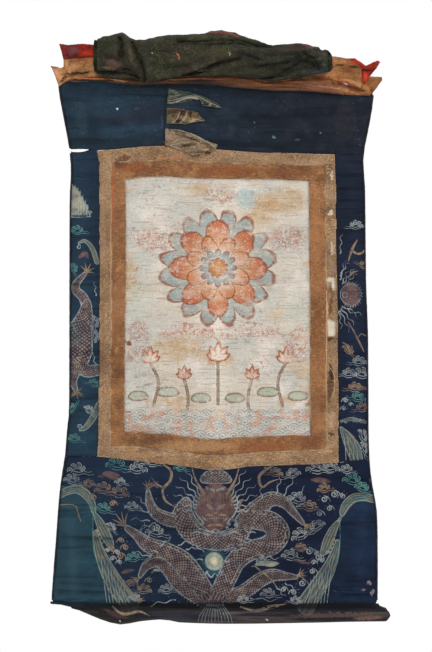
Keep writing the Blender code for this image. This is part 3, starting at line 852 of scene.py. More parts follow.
# %% [markdown]
# The head looks straight out, so one half is drawn and the other mirrors it: horn, brow, eye,
# nose, whisker, ear and mane. Its face is a brown ground, its features tan, and the hairs pale.
# %% Draw its head, horns and mane
HEAD_X = 215.5
low_page.bodies.append(run((203, 480, 3), (210, 477, 6.5), (221, 477, 6.5), (229, 480, 3)))
low_page.draw("brown", run((HEAD_X, 498, 15), (HEAD_X, 506, 20.5), (HEAD_X, 512, 18.5),
                           (215, 522, 10)))
for side in (-1, 1):
    def beside_head(*points):
        return run(*((HEAD_X + side * x, y, wide) for x, y, wide in points))
    low_page.draw(
        "tan", beside_head((24.5, 464, 0.5), (20.5, 478, 1.0), (16, 487, 1.8), (11, 495, 2.6)),
        beside_head((1.6, 509.4, 0.3), (4.6, 508.4, 1.5), (8.4, 506.4, 0.5)),
        beside_head((0, 513, 1.5), (1.6, 513.2, 1.0)),
        beside_head((2.6, 515.4, 0.5), (7, 514.8, 1.3), (11.4, 515.6, 0.5)),
        beside_head((15.4, 498.6, 0.9), (16.8, 502, 1.6), (15.6, 505.4, 0.7)),
        beside_head((0, 524.6, 1.3), (4, 525.2, 1.5), (8.6, 526.2, 0.3)))
    low_page.draw(
        "pale", beside_head((4.2, 508.3, 0.6), (4.9, 508.1, 0.6)),
        beside_head((1.4, 508.4, 0.3), (4.8, 505.8, 0.4), (9.4, 504.6, 0.3)),
        beside_head((8, 520.6, 0.3), (11, 519.4, 0.4), (13, 516.4, 0.3)),
        beside_head((20, 495, 0.4), (22, 501, 0.7), (21.6, 508, 0.8), (18.6, 515, 0.8),
                    (13.4, 520.6, 0.7), (11.6, 524, 0.3)),
        beside_head((1.5, 531, 0.4), (6, 535, 0.8), (12.5, 533.4, 0.8), (19, 531.6, 0.8),
                    (26, 535, 0.3)),
        beside_head((0, 528.6, 0.3), (5, 531.6, 0.6), (11, 530, 0.6), (17, 528, 0.3)))
    for x, y, size in ((14, 524, 1.9), (18, 520, 1.8), (12, 528, 1.7), (20, 525, 1.7)):
        low_page.draw("teal" if x == 18 else "pale", curl(HEAD_X + side * x, y, size, 1.2, 90, side))
    for number, length in enumerate((30, 29, 28, 26, 23, 20)):
        heading = 62 - number * 12
        low_page.draw("pale", ripple(HEAD_X + side * (15 + number), 496 + 3 * number, length,
                                     heading if side > 0 else 180 - heading, 2.4, 2.0 * side,
                                     1.0))
    for number in range(5):
        low_page.draw("pale", beside_head((1.1 + 2.3 * number, 517.8, 0.6),
                                          (1.1 + 2.3 * number, 519.2, 0.3)),
                      beside_head((0.6 + 2.9 * number, 474 + number * 0.9, 0.3),
                                  (0.6 + 3.6 * number, 469.6 + number * 1.5, 0.6)),
                      beside_head((2 + 1.9 * number, 489 - number * 0.7, 0.6),
                                  (0.8 + 1.7 * number, 492 - number * 0.5, 0.3)))
        low_page.draw("tan", beside_head((1.5 + 3 * number, 495, 0.25),
                                         (1.7 + 3.1 * number, 502, 0.3)))
low_page.draw("tan", run((60, 505, 0.4), (70, 504.4, 0.4), (76, 506.5, 0.4), (78, 513, 0.4),
                         (81, 522, 0.35)))

# %% [markdown]
# Under the chin burns the pearl, a round with rings and small flames all round. Above and beside
# the coils drift ribbons of mist: tan ones with a swell in the middle, and a few filled ones.
# %% Draw the pearl, its flames and the ribbons of mist
low_page.draw("cream", numpy.array([(214, 561, 9.0), (214.3, 561.2, 9.0)]))
low_page.draw("pale", run((206, 571, 0.8), (211, 577, 1.0), (215, 573, 0.5), (219, 577, 0.9),
                          (224, 569, 0.3)))
for x, y, heading, length in ((204, 552, 140, 14), (224, 551, 42, 14), (203, 560, 172, 16),
                              (225, 561, 8, 12), (208, 571, 235, 12), (221, 571, -52, 12)):
    low_page.draw("pale", ripple(x, y, length, heading, 1.5, 1.6, 0.8))
low_page.draw(
    "tan", run((163, 464, 0.8), (171, 471, 1.5), (170, 481, 1.7), (163, 489, 1.5),
               (165, 500, 1.2), (175, 507, 0.5)),
    run((151, 477, 0.3), (158, 485, 1.1), (166, 488, 0.8)),
    run((277, 464, 0.9), (267, 469, 1.6), (259, 477, 1.8), (262, 487, 1.3), (270, 482, 1.0),
        (279, 479, 0.3)),
    run((262, 462, 1.0), (266, 469, 1.3)),
    run((243, 499, 1.2), (239, 507, 1.0), (244, 515, 0.6), (250, 513, 0.2)),
    run((255, 566, 0.7), (262, 572, 1.1), (270, 578, 1.0), (276, 586, 0.3)))
low_page.draw("cream", run((252, 566, 0.4), (262, 563, 2.4), (272, 564, 2.6), (281, 562, 0.4)),
              run((150, 574, 0.3), (156, 570, 1.3), (163, 572, 0.3)))
low_page.draw("brown", run((98, 477, 0.4), (106, 474, 2.6), (114, 476, 3.6), (122, 477, 0.6)),
              run((308, 481, 0.4), (317, 480, 2.6), (326, 481, 2.4), (335, 480, 0.4)),
              run((120, 574, 0.5), (127, 571, 2.0), (135, 570, 0.4)),
              run((293, 560, 0.4), (302, 562, 1.6), (311, 563, 0.4)),
              run((146, 488, 1.6), (153, 484, 2.2), (159, 488, 1.0)))

# %% [markdown]
# The ground between the figures is never empty on such silk. Clouds fill the wide gaps and curls
# of foam the narrow ones. Single drops are strewn at random, from a fixed seed.
# %% Draw the clouds, the foam and the scattered drops
low_page.clouds("pale", (77, 470, 7.5, 6, 1), (72, 480, 6.5, 10, 1), (155, 532, 7.5, 10, 1),
                (138, 469, 7.5, 2, -1), (152, 463, 6, 0, 1), (293, 474, 6, -14, -1),
                (316, 469, 8, 2, 1), (331, 468, 7, 4, -1), (297, 499, 7.5, 14, 1),
                (300, 535, 7.5, -22, 1), (317, 526, 6.5, -26, -1), (290, 556, 7, 6, 1),
                (166, 590, 6, -4, 1), (132, 507, 5.5, 8, 1), (346, 470, 5.5, 4, 1), (134, 597, 5, 6, 1),
                (296, 601, 5, 4, -1), (111, 527, 4.5, 40, 1), (262, 560, 4.5, -8, 1),
                (120, 482, 4.5, 10, 1), (268, 594, 6, 4, 1), (243, 600, 5, 0, 1))
low_page.clouds("tan", (103, 489, 7, -4, 1), (120, 493, 7.5, 8, -1), (310, 507, 6.5, 8, -1),
                (89, 484, 5, 4, -1), (276, 473, 5.5, 6, -1), (324, 489, 5.5, -6, 1),
                (301, 548, 5, 4, -1), (144, 590, 6, 4, -1))
low_page.clouds("teal", (103, 509, 6.5, 10, 1), (133, 558, 6, -8, 1), (116, 465, 8, 4, 1),
                (352, 480, 7.5, 8, 1), (362, 488, 6, 20, 1), (180, 468, 5, 6, 1))
for x, y, size, hand in (
        (94, 497, 3.4, 1), (112, 503, 3.0, -1), (126, 547, 3.2, 1), (120, 556, 3.4, -1),
        (113, 549, 3.0, 1), (131, 583, 3.6, 1), (150, 580, 3.0, 1), (334, 494, 3.8, -1),
        (324, 499, 3.4, -1), (319, 513, 3.2, -1), (309, 551, 3.8, -1), (318, 557, 3.4, -1),
        (302, 583, 3.8, -1), (294, 592, 3.0, 1), (283, 589, 2.8, -1), (329, 508, 3.0, -1),
        (122, 540, 2.8, 1), (140, 600, 3.0, 1), (312, 571, 3.0, -1), (343, 496, 3.0, 1)):
    low_page.foam(x, y, size, hand, "pale" if x > 150 else "tan")
drops = random.Random(11)
for left, right, top, bottom, count in ((98, 140, 470, 600, 46), (292, 336, 500, 604, 50),
                                        (140, 290, 588, 603, 34), (120, 170, 480, 520, 22),
                                        (255, 300, 480, 500, 10)):
    for _ in range(count):
        x, y = drops.uniform(left, right), drops.uniform(top, bottom)
        low_page.draw(drops.choice(("pale", "pale", "tan", "teal")),
                      numpy.array([(x, y, drops.uniform(0.35, 0.75)), (x + 0.3, y + 0.3, 0.3)]))

# %% [markdown]
# The dragon's limbs and back carry small flames, and its belly has a row of plates beside the
# scales. Both follow the coils that are already drawn, so they are taken from those lines.
# %% Draw belly lines and flames along the coils


def beside(path, share, start=0.0, end=1.0, width=0.45):
    """A line that keeps to one side of a coil, at a share of its half width."""
    rows = path[int(len(path) * start):max(3, int(len(path) * end))]
    way = numpy.gradient(rows[:, :2], axis=0)
    way /= numpy.maximum(numpy.hypot(way[:, 0], way[:, 1]), 1e-6)[:, None]
    off = numpy.column_stack([-way[:, 1], way[:, 0]]) * rows[:, 2:3] * share
    return numpy.column_stack([rows[:, :2] + off, numpy.full(len(rows), width)])


for path, belly in zip(low_page.bodies[:7], (1, 1, -1, -1, 1, 1, 1)):
    low_page.draw("pale", beside(path, -0.62 * belly, 0.12, 0.9, 0.36))
    for knob in beside(path, 1.1 * belly, 0.15, 0.95)[::3]:
        low_page.draw("pale", numpy.array([[*knob[:2], 0.85], [*(knob[:2] + 0.3), 0.5]]))
    inner_line = beside(path, -0.64 * belly, 0.12, 0.9)
    outer_line = beside(path, -0.98 * belly, 0.12, 0.9)
    for place in range(2, len(inner_line) - 2, 4):
        low_page.draw("tan", numpy.array([[*inner_line[place, :2], 0.28],
                                          [*outer_line[place + 1, :2], 0.28]]))
for x, y, heading, length in (
        (152, 515, 150, 22), (150, 521, 172, 20), (156, 523, 196, 18), (146, 506, 130, 14),
        (139, 535, 60, 14), (146, 538, 48, 16), (160, 546, 38, 15), (290, 500, 40, 20),
        (283, 496, 58, 22), (276, 494, 74, 18), (262, 498, 100, 16), (296, 506, 10, 14),
        (285, 583, -30, 16), (276, 586, -50, 14), (150, 557, 160, 18), (158, 553, 150, 16),
        (178, 545, 20, 18), (186, 549, 8, 14), (246, 548, 190, 22), (252, 540, 176, 24),
        (256, 533, 168, 18), (262, 556, -10, 18), (176, 600, 190, 26), (250, 598, -6, 28)):
    low_page.draw("pale", ripple(x, y, length, heading, 1.8, 1.7, 0.8))

# %% [markdown]
# On both sides waves arch over and fall on steep striped rocks. Outside them the silk is plain:
# the line down each edge of the field says where the dark patterned ground ends.
# %% Draw the waves and striped rocks at its edges
low_page.bands += [
    run((60, 495, 3.2), (67, 491, 3.8), (77, 489, 4.2), (86, 494, 4.2), (92, 503, 3.4),
        (94, 513, 2.0)),
    run((94, 512, 1.2), (99, 521, 3.6), (104, 531, 5.0), (109, 541, 4.4), (112, 549, 1.5)),
    run((95, 532, 2.0), (99, 549, 4.6), (106, 567, 7.0), (116, 585, 8.6), (130, 604, 9)),
    run((374, 500, 3.2), (365, 497, 3.8), (354, 498, 4.2), (346, 505, 4.2), (342, 513, 3.0)),
    run((340, 519, 1.2), (334, 528, 3.6), (329, 539, 5.0), (325, 549, 4.2), (321, 556, 1.5)),
    run((338, 541, 2.0), (334, 556, 4.6), (327, 572, 7.0), (317, 588, 8.4), (306, 604, 9)),
]
for number in range(8):
    low_page.draw("pale", run((101 + 3.3 * number, 556 + 3.4 * number, 0.2),
                              (103 + 3.1 * number, 574 + 2.6 * number, 0.45),
                              (107 + 3.2 * number, 603, 0.4)),
                  run((334 - 3.3 * number, 554 + 3.6 * number, 0.2),
                      (331 - 3.1 * number, 572 + 2.8 * number, 0.45),
                      (327 - 3.2 * number, 603, 0.4)))
for x, y, size, hand in ((118, 552, 2.6, 1), (112, 558, 2.4, -1), (120, 562, 2.4, 1),
                         (108, 550, 2.0, 1), (316, 553, 2.6, -1), (322, 560, 2.4, 1),
                         (313, 562, 2.4, -1), (327, 552, 2.0, -1)):
    low_page.foam(x, y, size, hand, "pale")
for x in range(200, 233, 3):
    low_page.draw("pale", run((215 + (x - 215) * 0.5, 604, 0.2), (x, 613, 0.3),
                              (x + (x - 215) * 0.15, 622, 0.3)))
low_page.draw("tan", run((240, 606, 0.4), (255, 609, 1.4), (272, 606, 1.6), (286, 604, 0.4)),
              run((112, 606, 0.5), (124, 612, 1.6), (140, 610, 1.2), (150, 614, 0.4)))
FIELD_LEFT = numpy.array([(440, 30), (483, 40), (488, 70), (493, 84), (501, 90), (512, 92.5),
                          (548, 93), (570, 101), (586, 112), (602, 128), (640, 150)], float)
FIELD_RIGHT = numpy.array([(440, 405), (493, 400), (497, 362), (503, 349), (511, 343),
                           (522, 340.5), (550, 340), (570, 335), (586, 326), (602, 315),
                           (640, 300)], float)
for rim_line, way in ((FIELD_LEFT, 1), (FIELD_RIGHT, -1)):
    low_page.draw("teal", run(*((x + 0.4 * way, y, 0.35) for y, x in rim_line[1:-1])))


def paint_field(bm):
    """Paints the layer field: how far inside the dark patterned ground a point is, in pixels."""
    px, py = spots_of(bm).T
    left = numpy.interp(py, FIELD_LEFT[:, 0], FIELD_LEFT[:, 1])
    right = numpy.interp(py, FIELD_RIGHT[:, 0], FIELD_RIGHT[:, 1])
    paint(bm, "field", numpy.minimum(px - left, right - px))


# %% [markdown]
# The side strips are cut from the same silk, so each shows a slice of the figures: a tail and a
# coil on the left, and on the right a disc with rays of hair, clouds, and waves at the foot.
# %% Draw what shows of the pattern on the side strips
left_page = Page()
left_page.bands.append(run((97, 262, 2.4), (92, 248, 2.2), (85, 241, 1.5), (79, 243, 1.0)))
left_page.bands.append(run((99, 404, 2.6), (94, 416, 3.2), (86, 427, 2.4), (80, 430, 1.0)))
for number in range(7):
    x = 71.5 + 2.6 * number
    top = 184 + 0.10 * (x - 71) ** 1.95
    left_page.draw("cream", run((x + 0.5, top + 2, 0.9), (x, 206, 1.1), (x - 0.4, 214.5, 1.1)))
    left_page.draw("pale", run((x + 1.5, top, 0.2), (x + 0.6, 205, 0.35), (x, 216.5, 0.35)))
left_page.draw("pale", run((71, 184, 0.2), (78, 191, 0.45), (85, 203, 0.5), (90, 216, 0.5)),
               run((69, 217, 0.5), (80, 217.5, 0.6), (91, 216.5, 0.5)), curl(90, 213, 2.2, 1.2),
               curl(78.6, 247, 2.6, 1.1, 100, -1, 0.6), curl(80, 427, 3.0, 1.2, 200, -1, 0.6))
left_page.draw("brown", run((80, 257, 1.4), (85, 254, 2.6), (88, 258, 1.0)),
               run((70, 396, 0.5), (76, 393, 2.2), (83, 396, 0.5)))
left_page.bodies += [
    run((85, 274, 2), (77, 283, 3.4), (76, 290, 4), (83, 297, 4.4), (87, 307, 5)),
    run((87, 303, 4), (85, 316, 7.5), (80, 334, 12), (80, 351, 12), (77, 366, 8)),
    run((78, 364, 7), (87, 371, 6), (98, 370, 5.4)),
    run((77, 368, 5.5), (73, 380, 4), (76, 390, 2)),
]
left_page.claws(86, 273, 62, 10, 50, 5, "tan", 0.8)
left_page.claws(76, 391, -50, 8, 60, 4, "tan", 0.8)
left_page.clouds("pale", (95, 322, 5, 80, 1), (95, 336, 5, 80, -1), (89, 410, 4.5, 40, 1))
left_page.clouds("teal", (77, 231, 5.5, 0, 1), (74, 439, 5.5, 6, 1), (72, 409, 5, -60, 1),
                 (73, 268, 4.5, 60, 1), (94, 384, 5, 20, -1))
for number in range(6):
    left_page.draw("teal", ripple(71 + number * 0.6, 322 + 4 * number, 8, 20 - 9 * number, 1.2))
left_page.draw("pale", ripple(93, 352, 18, -80, 2.5, 1.4, 0.6), ripple(96, 296, 14, 96, 2, 1.4))

right_page = Page()
right_page.draw("brown", run((350, 291, 8.6), (351, 298, 9.2)))
for number in range(4, 38):
    reach = 1.66 * math.sqrt(number)
    x, y = 351 + 0.85 * reach * math.cos(2.4 * number), 294.6 + reach * math.sin(2.4 * number)
    right_page.draw("tan" if number % 3 else "pale", run((x - 0.3, y, 0.4), (x + 0.4, y + 0.3, 0.4)))
right_page.draw("pale", curl(350.6, 294.5, 10.6, 1, 0, 1, 0.3, 1))
right_page.draw("pale", curl(345, 295, 2.9, 1.1, 0, 1, 0.4, 0.85))
right_page.draw("brown", run((345, 294.6, 1.6), (345, 295.4, 1.6)))
for number in range(17):
    angle = math.radians(120 - number * 15)
    right_page.draw("pale", run((351 + 8 * math.cos(angle), 295 - 10 * math.sin(angle), 0.6),
                                (351.5 + 11.5 * math.cos(angle - 0.15),
                                 295 - 13.5 * math.sin(angle - 0.15), 0.15)))
for x, y, length, heading in (
        (342, 284, 14, 68), (340, 280, 20, 76), (344, 283, 17, 58), (346, 284, 15, 46),
        (340, 276, 16, 60), (341, 308, 22, -52), (342, 306, 18, -34), (340, 310, 24, -66),
        (339, 311, 18, -82), (344, 307, 20, -24), (340, 254, 20, 86)):
    right_page.draw("pale", ripple(x, y, length, heading, 2.2, 1.5, 0.8))
right_page.draw("tan", run((348, 262, 0.5), (350, 255, 1.1), (352, 249, 1.6), (357, 240, 0.5)),
                run((351, 250, 1.4), (357, 254, 1.3), (363, 252, 1.2), (366, 246, 0.4)),
                run((348, 279, 0.4), (352, 273, 1.3), (358, 271, 0.3)),
                run((348, 322, 0.5), (354, 332, 0.9), (359, 342, 1.2), (364, 352, 0.4)),
                run((357, 338, 0.9), (361, 334, 0.7), (366, 336, 0.3)),
                run((342, 342, 0.5), (347, 346, 1.3), (350, 354, 0.5)))
right_page.clouds("pale", (356, 226, 5.5, 0, -1), (359, 362, 6, 0, -1), (349, 374, 6, 4, -1),
                  (361, 374, 7, 10, 1), (363, 436, 6, 60, 1), (364, 448, 5, 70, 1))
right_page.clouds("tan", (348, 350, 5, 40, 1), (355, 388, 6, 0, -1), (363, 408, 6, -6, -1),
                  (364, 266, 5, 30, -1))
right_page.clouds("teal", (358, 398, 6, 10, -1))
right_page.draw("brown", run((347, 389, 0.4), (356, 386, 2.0), (367, 389, 1.2)))
for x, y, size, hand in ((346, 400, 2.6, 1), (344, 408, 2.2, 1), (350, 404, 1.8, -1),
                         (346, 421, 2.4, 1), (354, 420, 2.4, -1), (361, 421, 2.2, 1)):
    right_page.foam(x, y, size, hand)
right_page.bands += [run((341, 428, 1.5), (347, 437, 5.0), (353, 448, 7), (357, 460, 6)),
                     run((341, 421, 1.2), (352, 419, 1.6), (366, 422, 1.4))]
for number in range(4):
    right_page.draw("pale", run((342 + 4 * number, 429 + 4 * number, 0.35),
                                (345 + 4 * number, 444 + 2 * number, 0.45),
                                (346 + 4 * number, 460, 0.4)))


# %% [markdown]
# Lines thinner than the net would break up in a layer, so they are laid as real thread: a curve
# with a round bevel, as thick as the line at each point, made a mesh and pressed flat on the
# silk. A ray from the front finds the silk, so thread follows every fold, and a line stops
# where the cloth stops.
# %% Lay thread on a cloth
THREAD_RISE = 0.22
THREAD_SINK = 0.05 * MM
FAR_FRONT = 0.5


def front_at(tree, x, z):
    """How far forward or back the cloth's front is at a place, or None beside the cloth."""
    hit = tree.ray_cast(Vector((x, -FAR_FRONT, z)), Vector((0, 1, 0)))[0]
    return None if hit is None else hit.y


def on_cloth(tree, line):
    """Cuts a line into the runs that lie on the cloth."""
    runs = [[]]
    for x, y, wide in line:
        if front_at(tree, *at(x, y)) is None:
            runs.append([])
        else:
            runs[-1].append((x, y, wide))
    return [points for points in runs if len(points) > 1]


def lay_thread(name, lines, tree, material):
    """Lays lines of the pattern on a cloth as flat thread, one piece."""
    curve = bpy.data.curves.new(name, "CURVE")
    curve.dimensions = "3D"
    curve.bevel_depth = PIXEL
    curve.bevel_resolution = 1
    curve.use_fill_caps = True
    for line in lines:
        for points in on_cloth(tree, line):
            spline = curve.splines.new("POLY")
            spline.points.add(len(points) - 1)
            for point, (x, y, wide) in zip(spline.points, points):
                px, pz = at(x, y)
                point.co = (px, 0, pz, 1)
                point.radius = wide
    holder = bpy.data.objects.new(name + "_curve", curve)
    bm = bmesh.new()
    bm.from_mesh(bpy.data.meshes.new_from_object(holder))
    bpy.data.objects.remove(holder)
    for vert in bm.verts:
        front = front_at(tree, vert.co.x, vert.co.z)
        if front is None:
            front = front_at(tree, vert.co.x * 0.99, vert.co.z) or 0.0
        vert.co.y = front + vert.co.y * THREAD_RISE - THREAD_SINK
    print(name, len(bm.faces), "faces of thread")
    piece = show(name, bm, material)
    return piece


def lay_page(name, page, bm):
    """Lays all the thread lines of a page on a cloth, a piece for each colour."""
    tree = BVHTree.FromBMesh(bm)
    return [lay_thread(name + "_" + thread + "_thread", page.lines[thread], tree,
                       thread_dyes[thread]) for thread in THREADS if page.lines[thread]]


# %% [markdown]
# The pattern's dye reads the layers. Inside a line the thread shows, outside it the ground. A
# body gets crossed rows of diamond scales with a pale dot in each, a pale rim, and white knobs
# along its back. A band gets stripes along it. Then the whole pattern is rubbed: the pale
# floats of a woven figure wear away first, so noise takes some of them off.
# %% Dye the patterned silk
SCALE_PX = 3.6
# Stains, lint and wear on the roll; the two near-black streaks at (95, 607) and (380, 606) are painted
# shadow at the ends of the crease above the roll.
LOW_MARKS = (
    (121, 619, 0.9, 0.8, 0, (220, 214, 208), 1.0), (267, 618, 0.9, 0.8, 0, (214, 216, 218), 1.0),
    (371, 480, 1.6, 2.6, 0, (226, 226, 226), 1.0), (369, 583, 2, 3, 20, (176, 160, 168), 0.7),
    (372, 592, 2, 3.4, -20, (170, 150, 156), 0.7), (363, 590, 2.4, 1.4, 30, (126, 112, 124), 0.6),
    (115, 612, 15, 2.4, -16, (96, 74, 66), 0.6), (95, 607, 18, 2.2, -18, (24, 22, 22), 0.8),
    (330, 613, 45, 2.6, 2, (104, 84, 76), 0.6), (368, 616, 16, 2.6, 2, (136, 104, 92), 0.7),
    (190, 614, 56, 5, 0, (42, 46, 56), 0.6), (176, 618, 20, 3, 0, (58, 62, 72), 0.6),
    (380, 606, 8, 3, -12, (26, 24, 24), 0.7),
)


def patterned_silk(name):
    """The silk with its pattern: ground, scales, stripes, filled shapes, the dirt of the roll, painted
    shadow in the crease above the roll and painted shade in the wrinkles.
    """
    vat = Vat(name)
    wrinkles = silk_wrinkles(vat)
    ribs = twill(vat)
    ground = blue_ground(vat)
    field = vat.layer("field").soft(-0.6, 0.6)
    dusk = vat.across.soft(-0.3, 0.1)
    faded = vat.beyond(92, 78) * (1 - field)
    ground = vat.mix(faded * 0.75, ground, dye(38, 62, 73))
    ground = vat.mix(field * 0.85, ground, vat.mix(dusk, dye(22, 34, 56), dye(18, 26, 48)))
    ground = vat.marks(ground, ((214, 562, 13, 15, 0, (34, 82, 94), 0.8),))
    rub = vat.clouds(60, 6, 0.75)
    kept = rub.soft(0.36, 0.56, 0.45, 1.0)
    fade = vat.clouds(11, 3).soft(0.35, 0.62, 0.8, 1.0)

    along = vat.layer("body_along") / SCALE_PX
    body_depth = vat.layer("body")
    half = vat.layer("body_side") * 2.6
    one = abs((along + half).part() - 0.5)
    two = abs((along - half).part() - 0.5)
    net_lines = (0.5 - one).least(0.5 - two).fall(0.05, 0.2)
    dots = (one + two).fall(0.0, 0.34)
    scales = vat.mix(rub.soft(0.42, 0.58), dye(84, 70, 71), dye(134, 116, 106))
    scales = vat.mix(net_lines, scales, dye(40, 34, 48))
    scales = vat.mix(dots * 0.7, scales, dye(164, 152, 138))
    colour = vat.mix(body_depth.soft(-0.35, 0.25) * fade * 0.92, ground, scales)
    outline = abs(body_depth - 0.1).fall(0.25, 0.7)
    colour = vat.mix(outline * kept * 0.75, colour, dye(140, 150, 154))

    band_depth = vat.layer("band")
    stripes = (vat.layer("band_side") * 11.0).wave().soft(-0.2, 0.4)
    shade = vat.clouds(30, 4, 0.65).soft(0.4, 0.6)
    cloth = vat.mix(shade, dye(124, 122, 104), dye(78, 100, 98))
    cloth = vat.mix(stripes * 0.7, cloth, dye(46, 62, 72))
    colour = vat.mix(band_depth.soft(-0.4, 0.3) * fade * 0.9, colour, cloth)
    rim = abs(band_depth - 0.2).fall(0.2, 0.6)
    colour = vat.mix(rim * kept * 0.6, colour, dye(150, 154, 142))

    raised = body_depth.soft(-0.3, 0.3) * 0.4
    for thread, tone, strength in (("brown", dye(108, 82, 76), 0.85),
                                   ("cream", dye(164, 160, 136), 0.9)):
        shown = vat.layer(thread).soft(-0.5, 0.5)
        colour = vat.mix(shown * kept * fade * strength, colour, tone)
        raised = raised + shown * 0.3
    pearl = vat.layer("cream")
    rings = (pearl * 2.1).wave().soft(-0.2, 0.6) * pearl.soft(0.4, 1.2)
    colour = vat.mix(rings * 0.55, colour, dye(86, 130, 142))
    colour = vat.mix(pearl.soft(3.5, 8.0) * 0.7, colour, dye(206, 186, 150))

    rolled = vat.up.soft(at(0, 604)[1], at(0, 608)[1])
    streak = vat.streaks(5, 5, 70, 5, 0.6, 0.8)
    earth = vat.mix(streak.soft(0.42, 0.6), dye(34, 32, 32), dye(84, 72, 64))
    earth = vat.mix(streak.soft(0.6, 0.72), earth, dye(116, 88, 74))
    colour = vat.mix(rolled * 0.68, colour, earth)
    # Painted shadow: a near-black line in the crease where the panel turns into its roll.
    crease = vat.up + (vat.streaks(6, 6, 6, 3) - 0.5) * (14 * MM)
    crease_shadow = abs(crease - at(0, 605)[1]).soft(3 * MM, 13 * MM, 0.93, 0.0)
    colour = vat.mix(crease_shadow * vat.across.soft(-0.42, -0.2, 0.6, 1.0), colour, dye(9, 10, 12))
    left_end = rolled * vat.across.soft(-0.1, -0.3)
    colour = vat.mix(left_end * streak.soft(0.7, 0.62, 0.2, 0.7), colour, dye(24, 23, 24))
    # Painted shade in the wrinkles; the twill ribs are a little darker.
    colour = vat.dim(colour, 1.12 - wrinkles * 0.46 - ribs * 0.12)
    # Stains, then painted shade in the fold troughs and painted highlight on their ridges, with dust.
    colour = vat.fold_shade_and_dust(vat.marks(colour, LOW_MARKS), 0.3, 0.2)
    edge = vat.layer("rim").soft(0.0, 8 * MM, 0.5, 0.0)
    colour = vat.mix(edge, colour, dye(24, 26, 32))
    height = ribs * 0.25 - wrinkles + raised * 0.8
    return vat.cook(colour, 0.72 - raised * 0.12, height, depth=0.7 * MM, sheen=0.03, gloss=0.1)


def worn_thread(name, tone, least=0.25, under=None):
    """Thread of the pattern, which shows the cloth under it where it is rubbed away."""
    vat = Vat(name)
    kept = vat.clouds(60, 6, 0.75).soft(0.36, 0.54, least, 1.0)
    fade = vat.clouds(11, 3).soft(0.35, 0.62, 0.4 + least * 0.6, 1.0)
    silk = vat.mix(vat.across.soft(-0.3, 0.1), dye(24, 46, 70), dye(22, 34, 60))
    colour = vat.mix(kept * fade, under or silk, tone)
    ply = (vat.across * 2300 + vat.up * 1900).wave()
    return vat.cook(colour, 0.7, ply, depth=0.2 * MM, gloss=0.12)


pattern_dye = patterned_silk("pattern_silk_cloth")
thread_dyes = {
    "pale": worn_thread("pale_thread_silk", dye(154, 160, 160)),
    "tan": worn_thread("tan_thread_silk", dye(146, 124, 102)),
    "teal": worn_thread("teal_thread_silk", dye(92, 142, 136)),
}

# %% [markdown]
# Down each side of the painting runs a narrow strip of the dragon silk, and below it the widest
# panel ends in a roll at its foot. The roll is the panel's own cloth wound up from below, so the
# layer keeps going: down the front, round under the roll and up its back. Inside, the cloth
# goes on turning, which shows at the two ends.
# %% Lay out the side strips
SIDE_CREASES = [
    (70, 178, 98, 184, 3, 1.2), (72, 232, 98, 228, 3, -1.3), (70, 318, 98, 324, 4, 1.6),
    (70, 402, 97, 396, 3, -1.5), (339, 190, 364, 184, 3, -1.2), (339, 262, 365, 270, 4, 1.4),
    (339, 348, 367, 342, 3, 1.3), (340, 402, 368, 410, 4, -1.6), (84, 170, 82, 440, 6, 1.2),
    (352, 165, 354, 445, 6, 1.4),
]
for name, node, tuck, page in (
        ("side_silk_left", "side_strip_left", (IN_BINDING, 1 * MM), left_page),
        ("side_silk_right", "side_strip_right", (1 * MM, IN_BINDING), right_page)):
    bm = lay_out(node, 3.8 * MM)
    for vert in bm.verts:
        past_gap = ramp((vert.co.x - at(82, 0)[0]) / (15 * PIXEL))
        rise = 4.2 * past_gap + 0.4
        vert.co.z += rise * PIXEL * ramp((vert.co.z - at(0, 172)[1]) / (14 * PIXEL))
    trim(bm, outward=0.7 * MM, fray=0.5 * MM, tuck=tuck)
    weave_page(bm, page)
    press(bm, SIDE_CREASES, crumple=1.0 * MM, grain=(14.0, 10.0))
    measure_rim(bm)
    threads = lay_page(name, page, bm)
    hang(name, bm, node, pattern_dye, (0.095, 0.893))

# %% [markdown]
# The lower panel is a cloth and a roll in one. Above the crease only the front layer is kept.
# Below it every face stays but the two end caps. The turns inside are copies of the rolled part,
# drawn in towards the middle of the roll, each a little slacker than the last.
# %% Lay out the lower panel and its roll
CREASE_UP = at(0, 602.5)[1]
INNER_TURNS = (0.7, 0.48, 0.28)
INNER_DROP = 14 * MM
END_FACING = 0.7


def in_roll(face):
    """Whether a face lies below the crease, in the roll."""
    return face.calc_center_median().z < CREASE_UP


def roll_centre(points, across):
    """The middle of a roll at a place across, from the points of the roll near it."""
    near = [point for point in points if abs(point.x - across) < 30 * MM]
    low = min(point.z for point in near)
    high = max(point.z for point in near)
    back = max(point.y for point in near)
    front = min(point.y for point in near)
    return Vector((across, (front + back) / 2, (low + high) / 2))


def wind_inward(turns, scales, slide):
    """Puts smaller and smaller copies in the place of an outer turn, each slid along a little."""
    points = [vert.co.copy() for vert in turns.verts]
    one_turn = list(turns.faces)
    for scale in scales:
        copy = bmesh.ops.duplicate(turns, geom=one_turn)["geom"]
        for vert in (part for part in copy if isinstance(part, bmesh.types.BMVert)):
            middle = roll_centre(points, vert.co.x)
            vert.co = middle + (vert.co - middle) * scale
            vert.co.x = slide(vert.co, scale)
    bmesh.ops.delete(turns, geom=one_turn, context="FACES")


def put_inside(bm, turns, name):
    """Adds the inner turns to their cloth."""
    inner = bpy.data.meshes.new(name)
    turns.to_mesh(inner)
    turns.free()
    bm.from_mesh(inner)


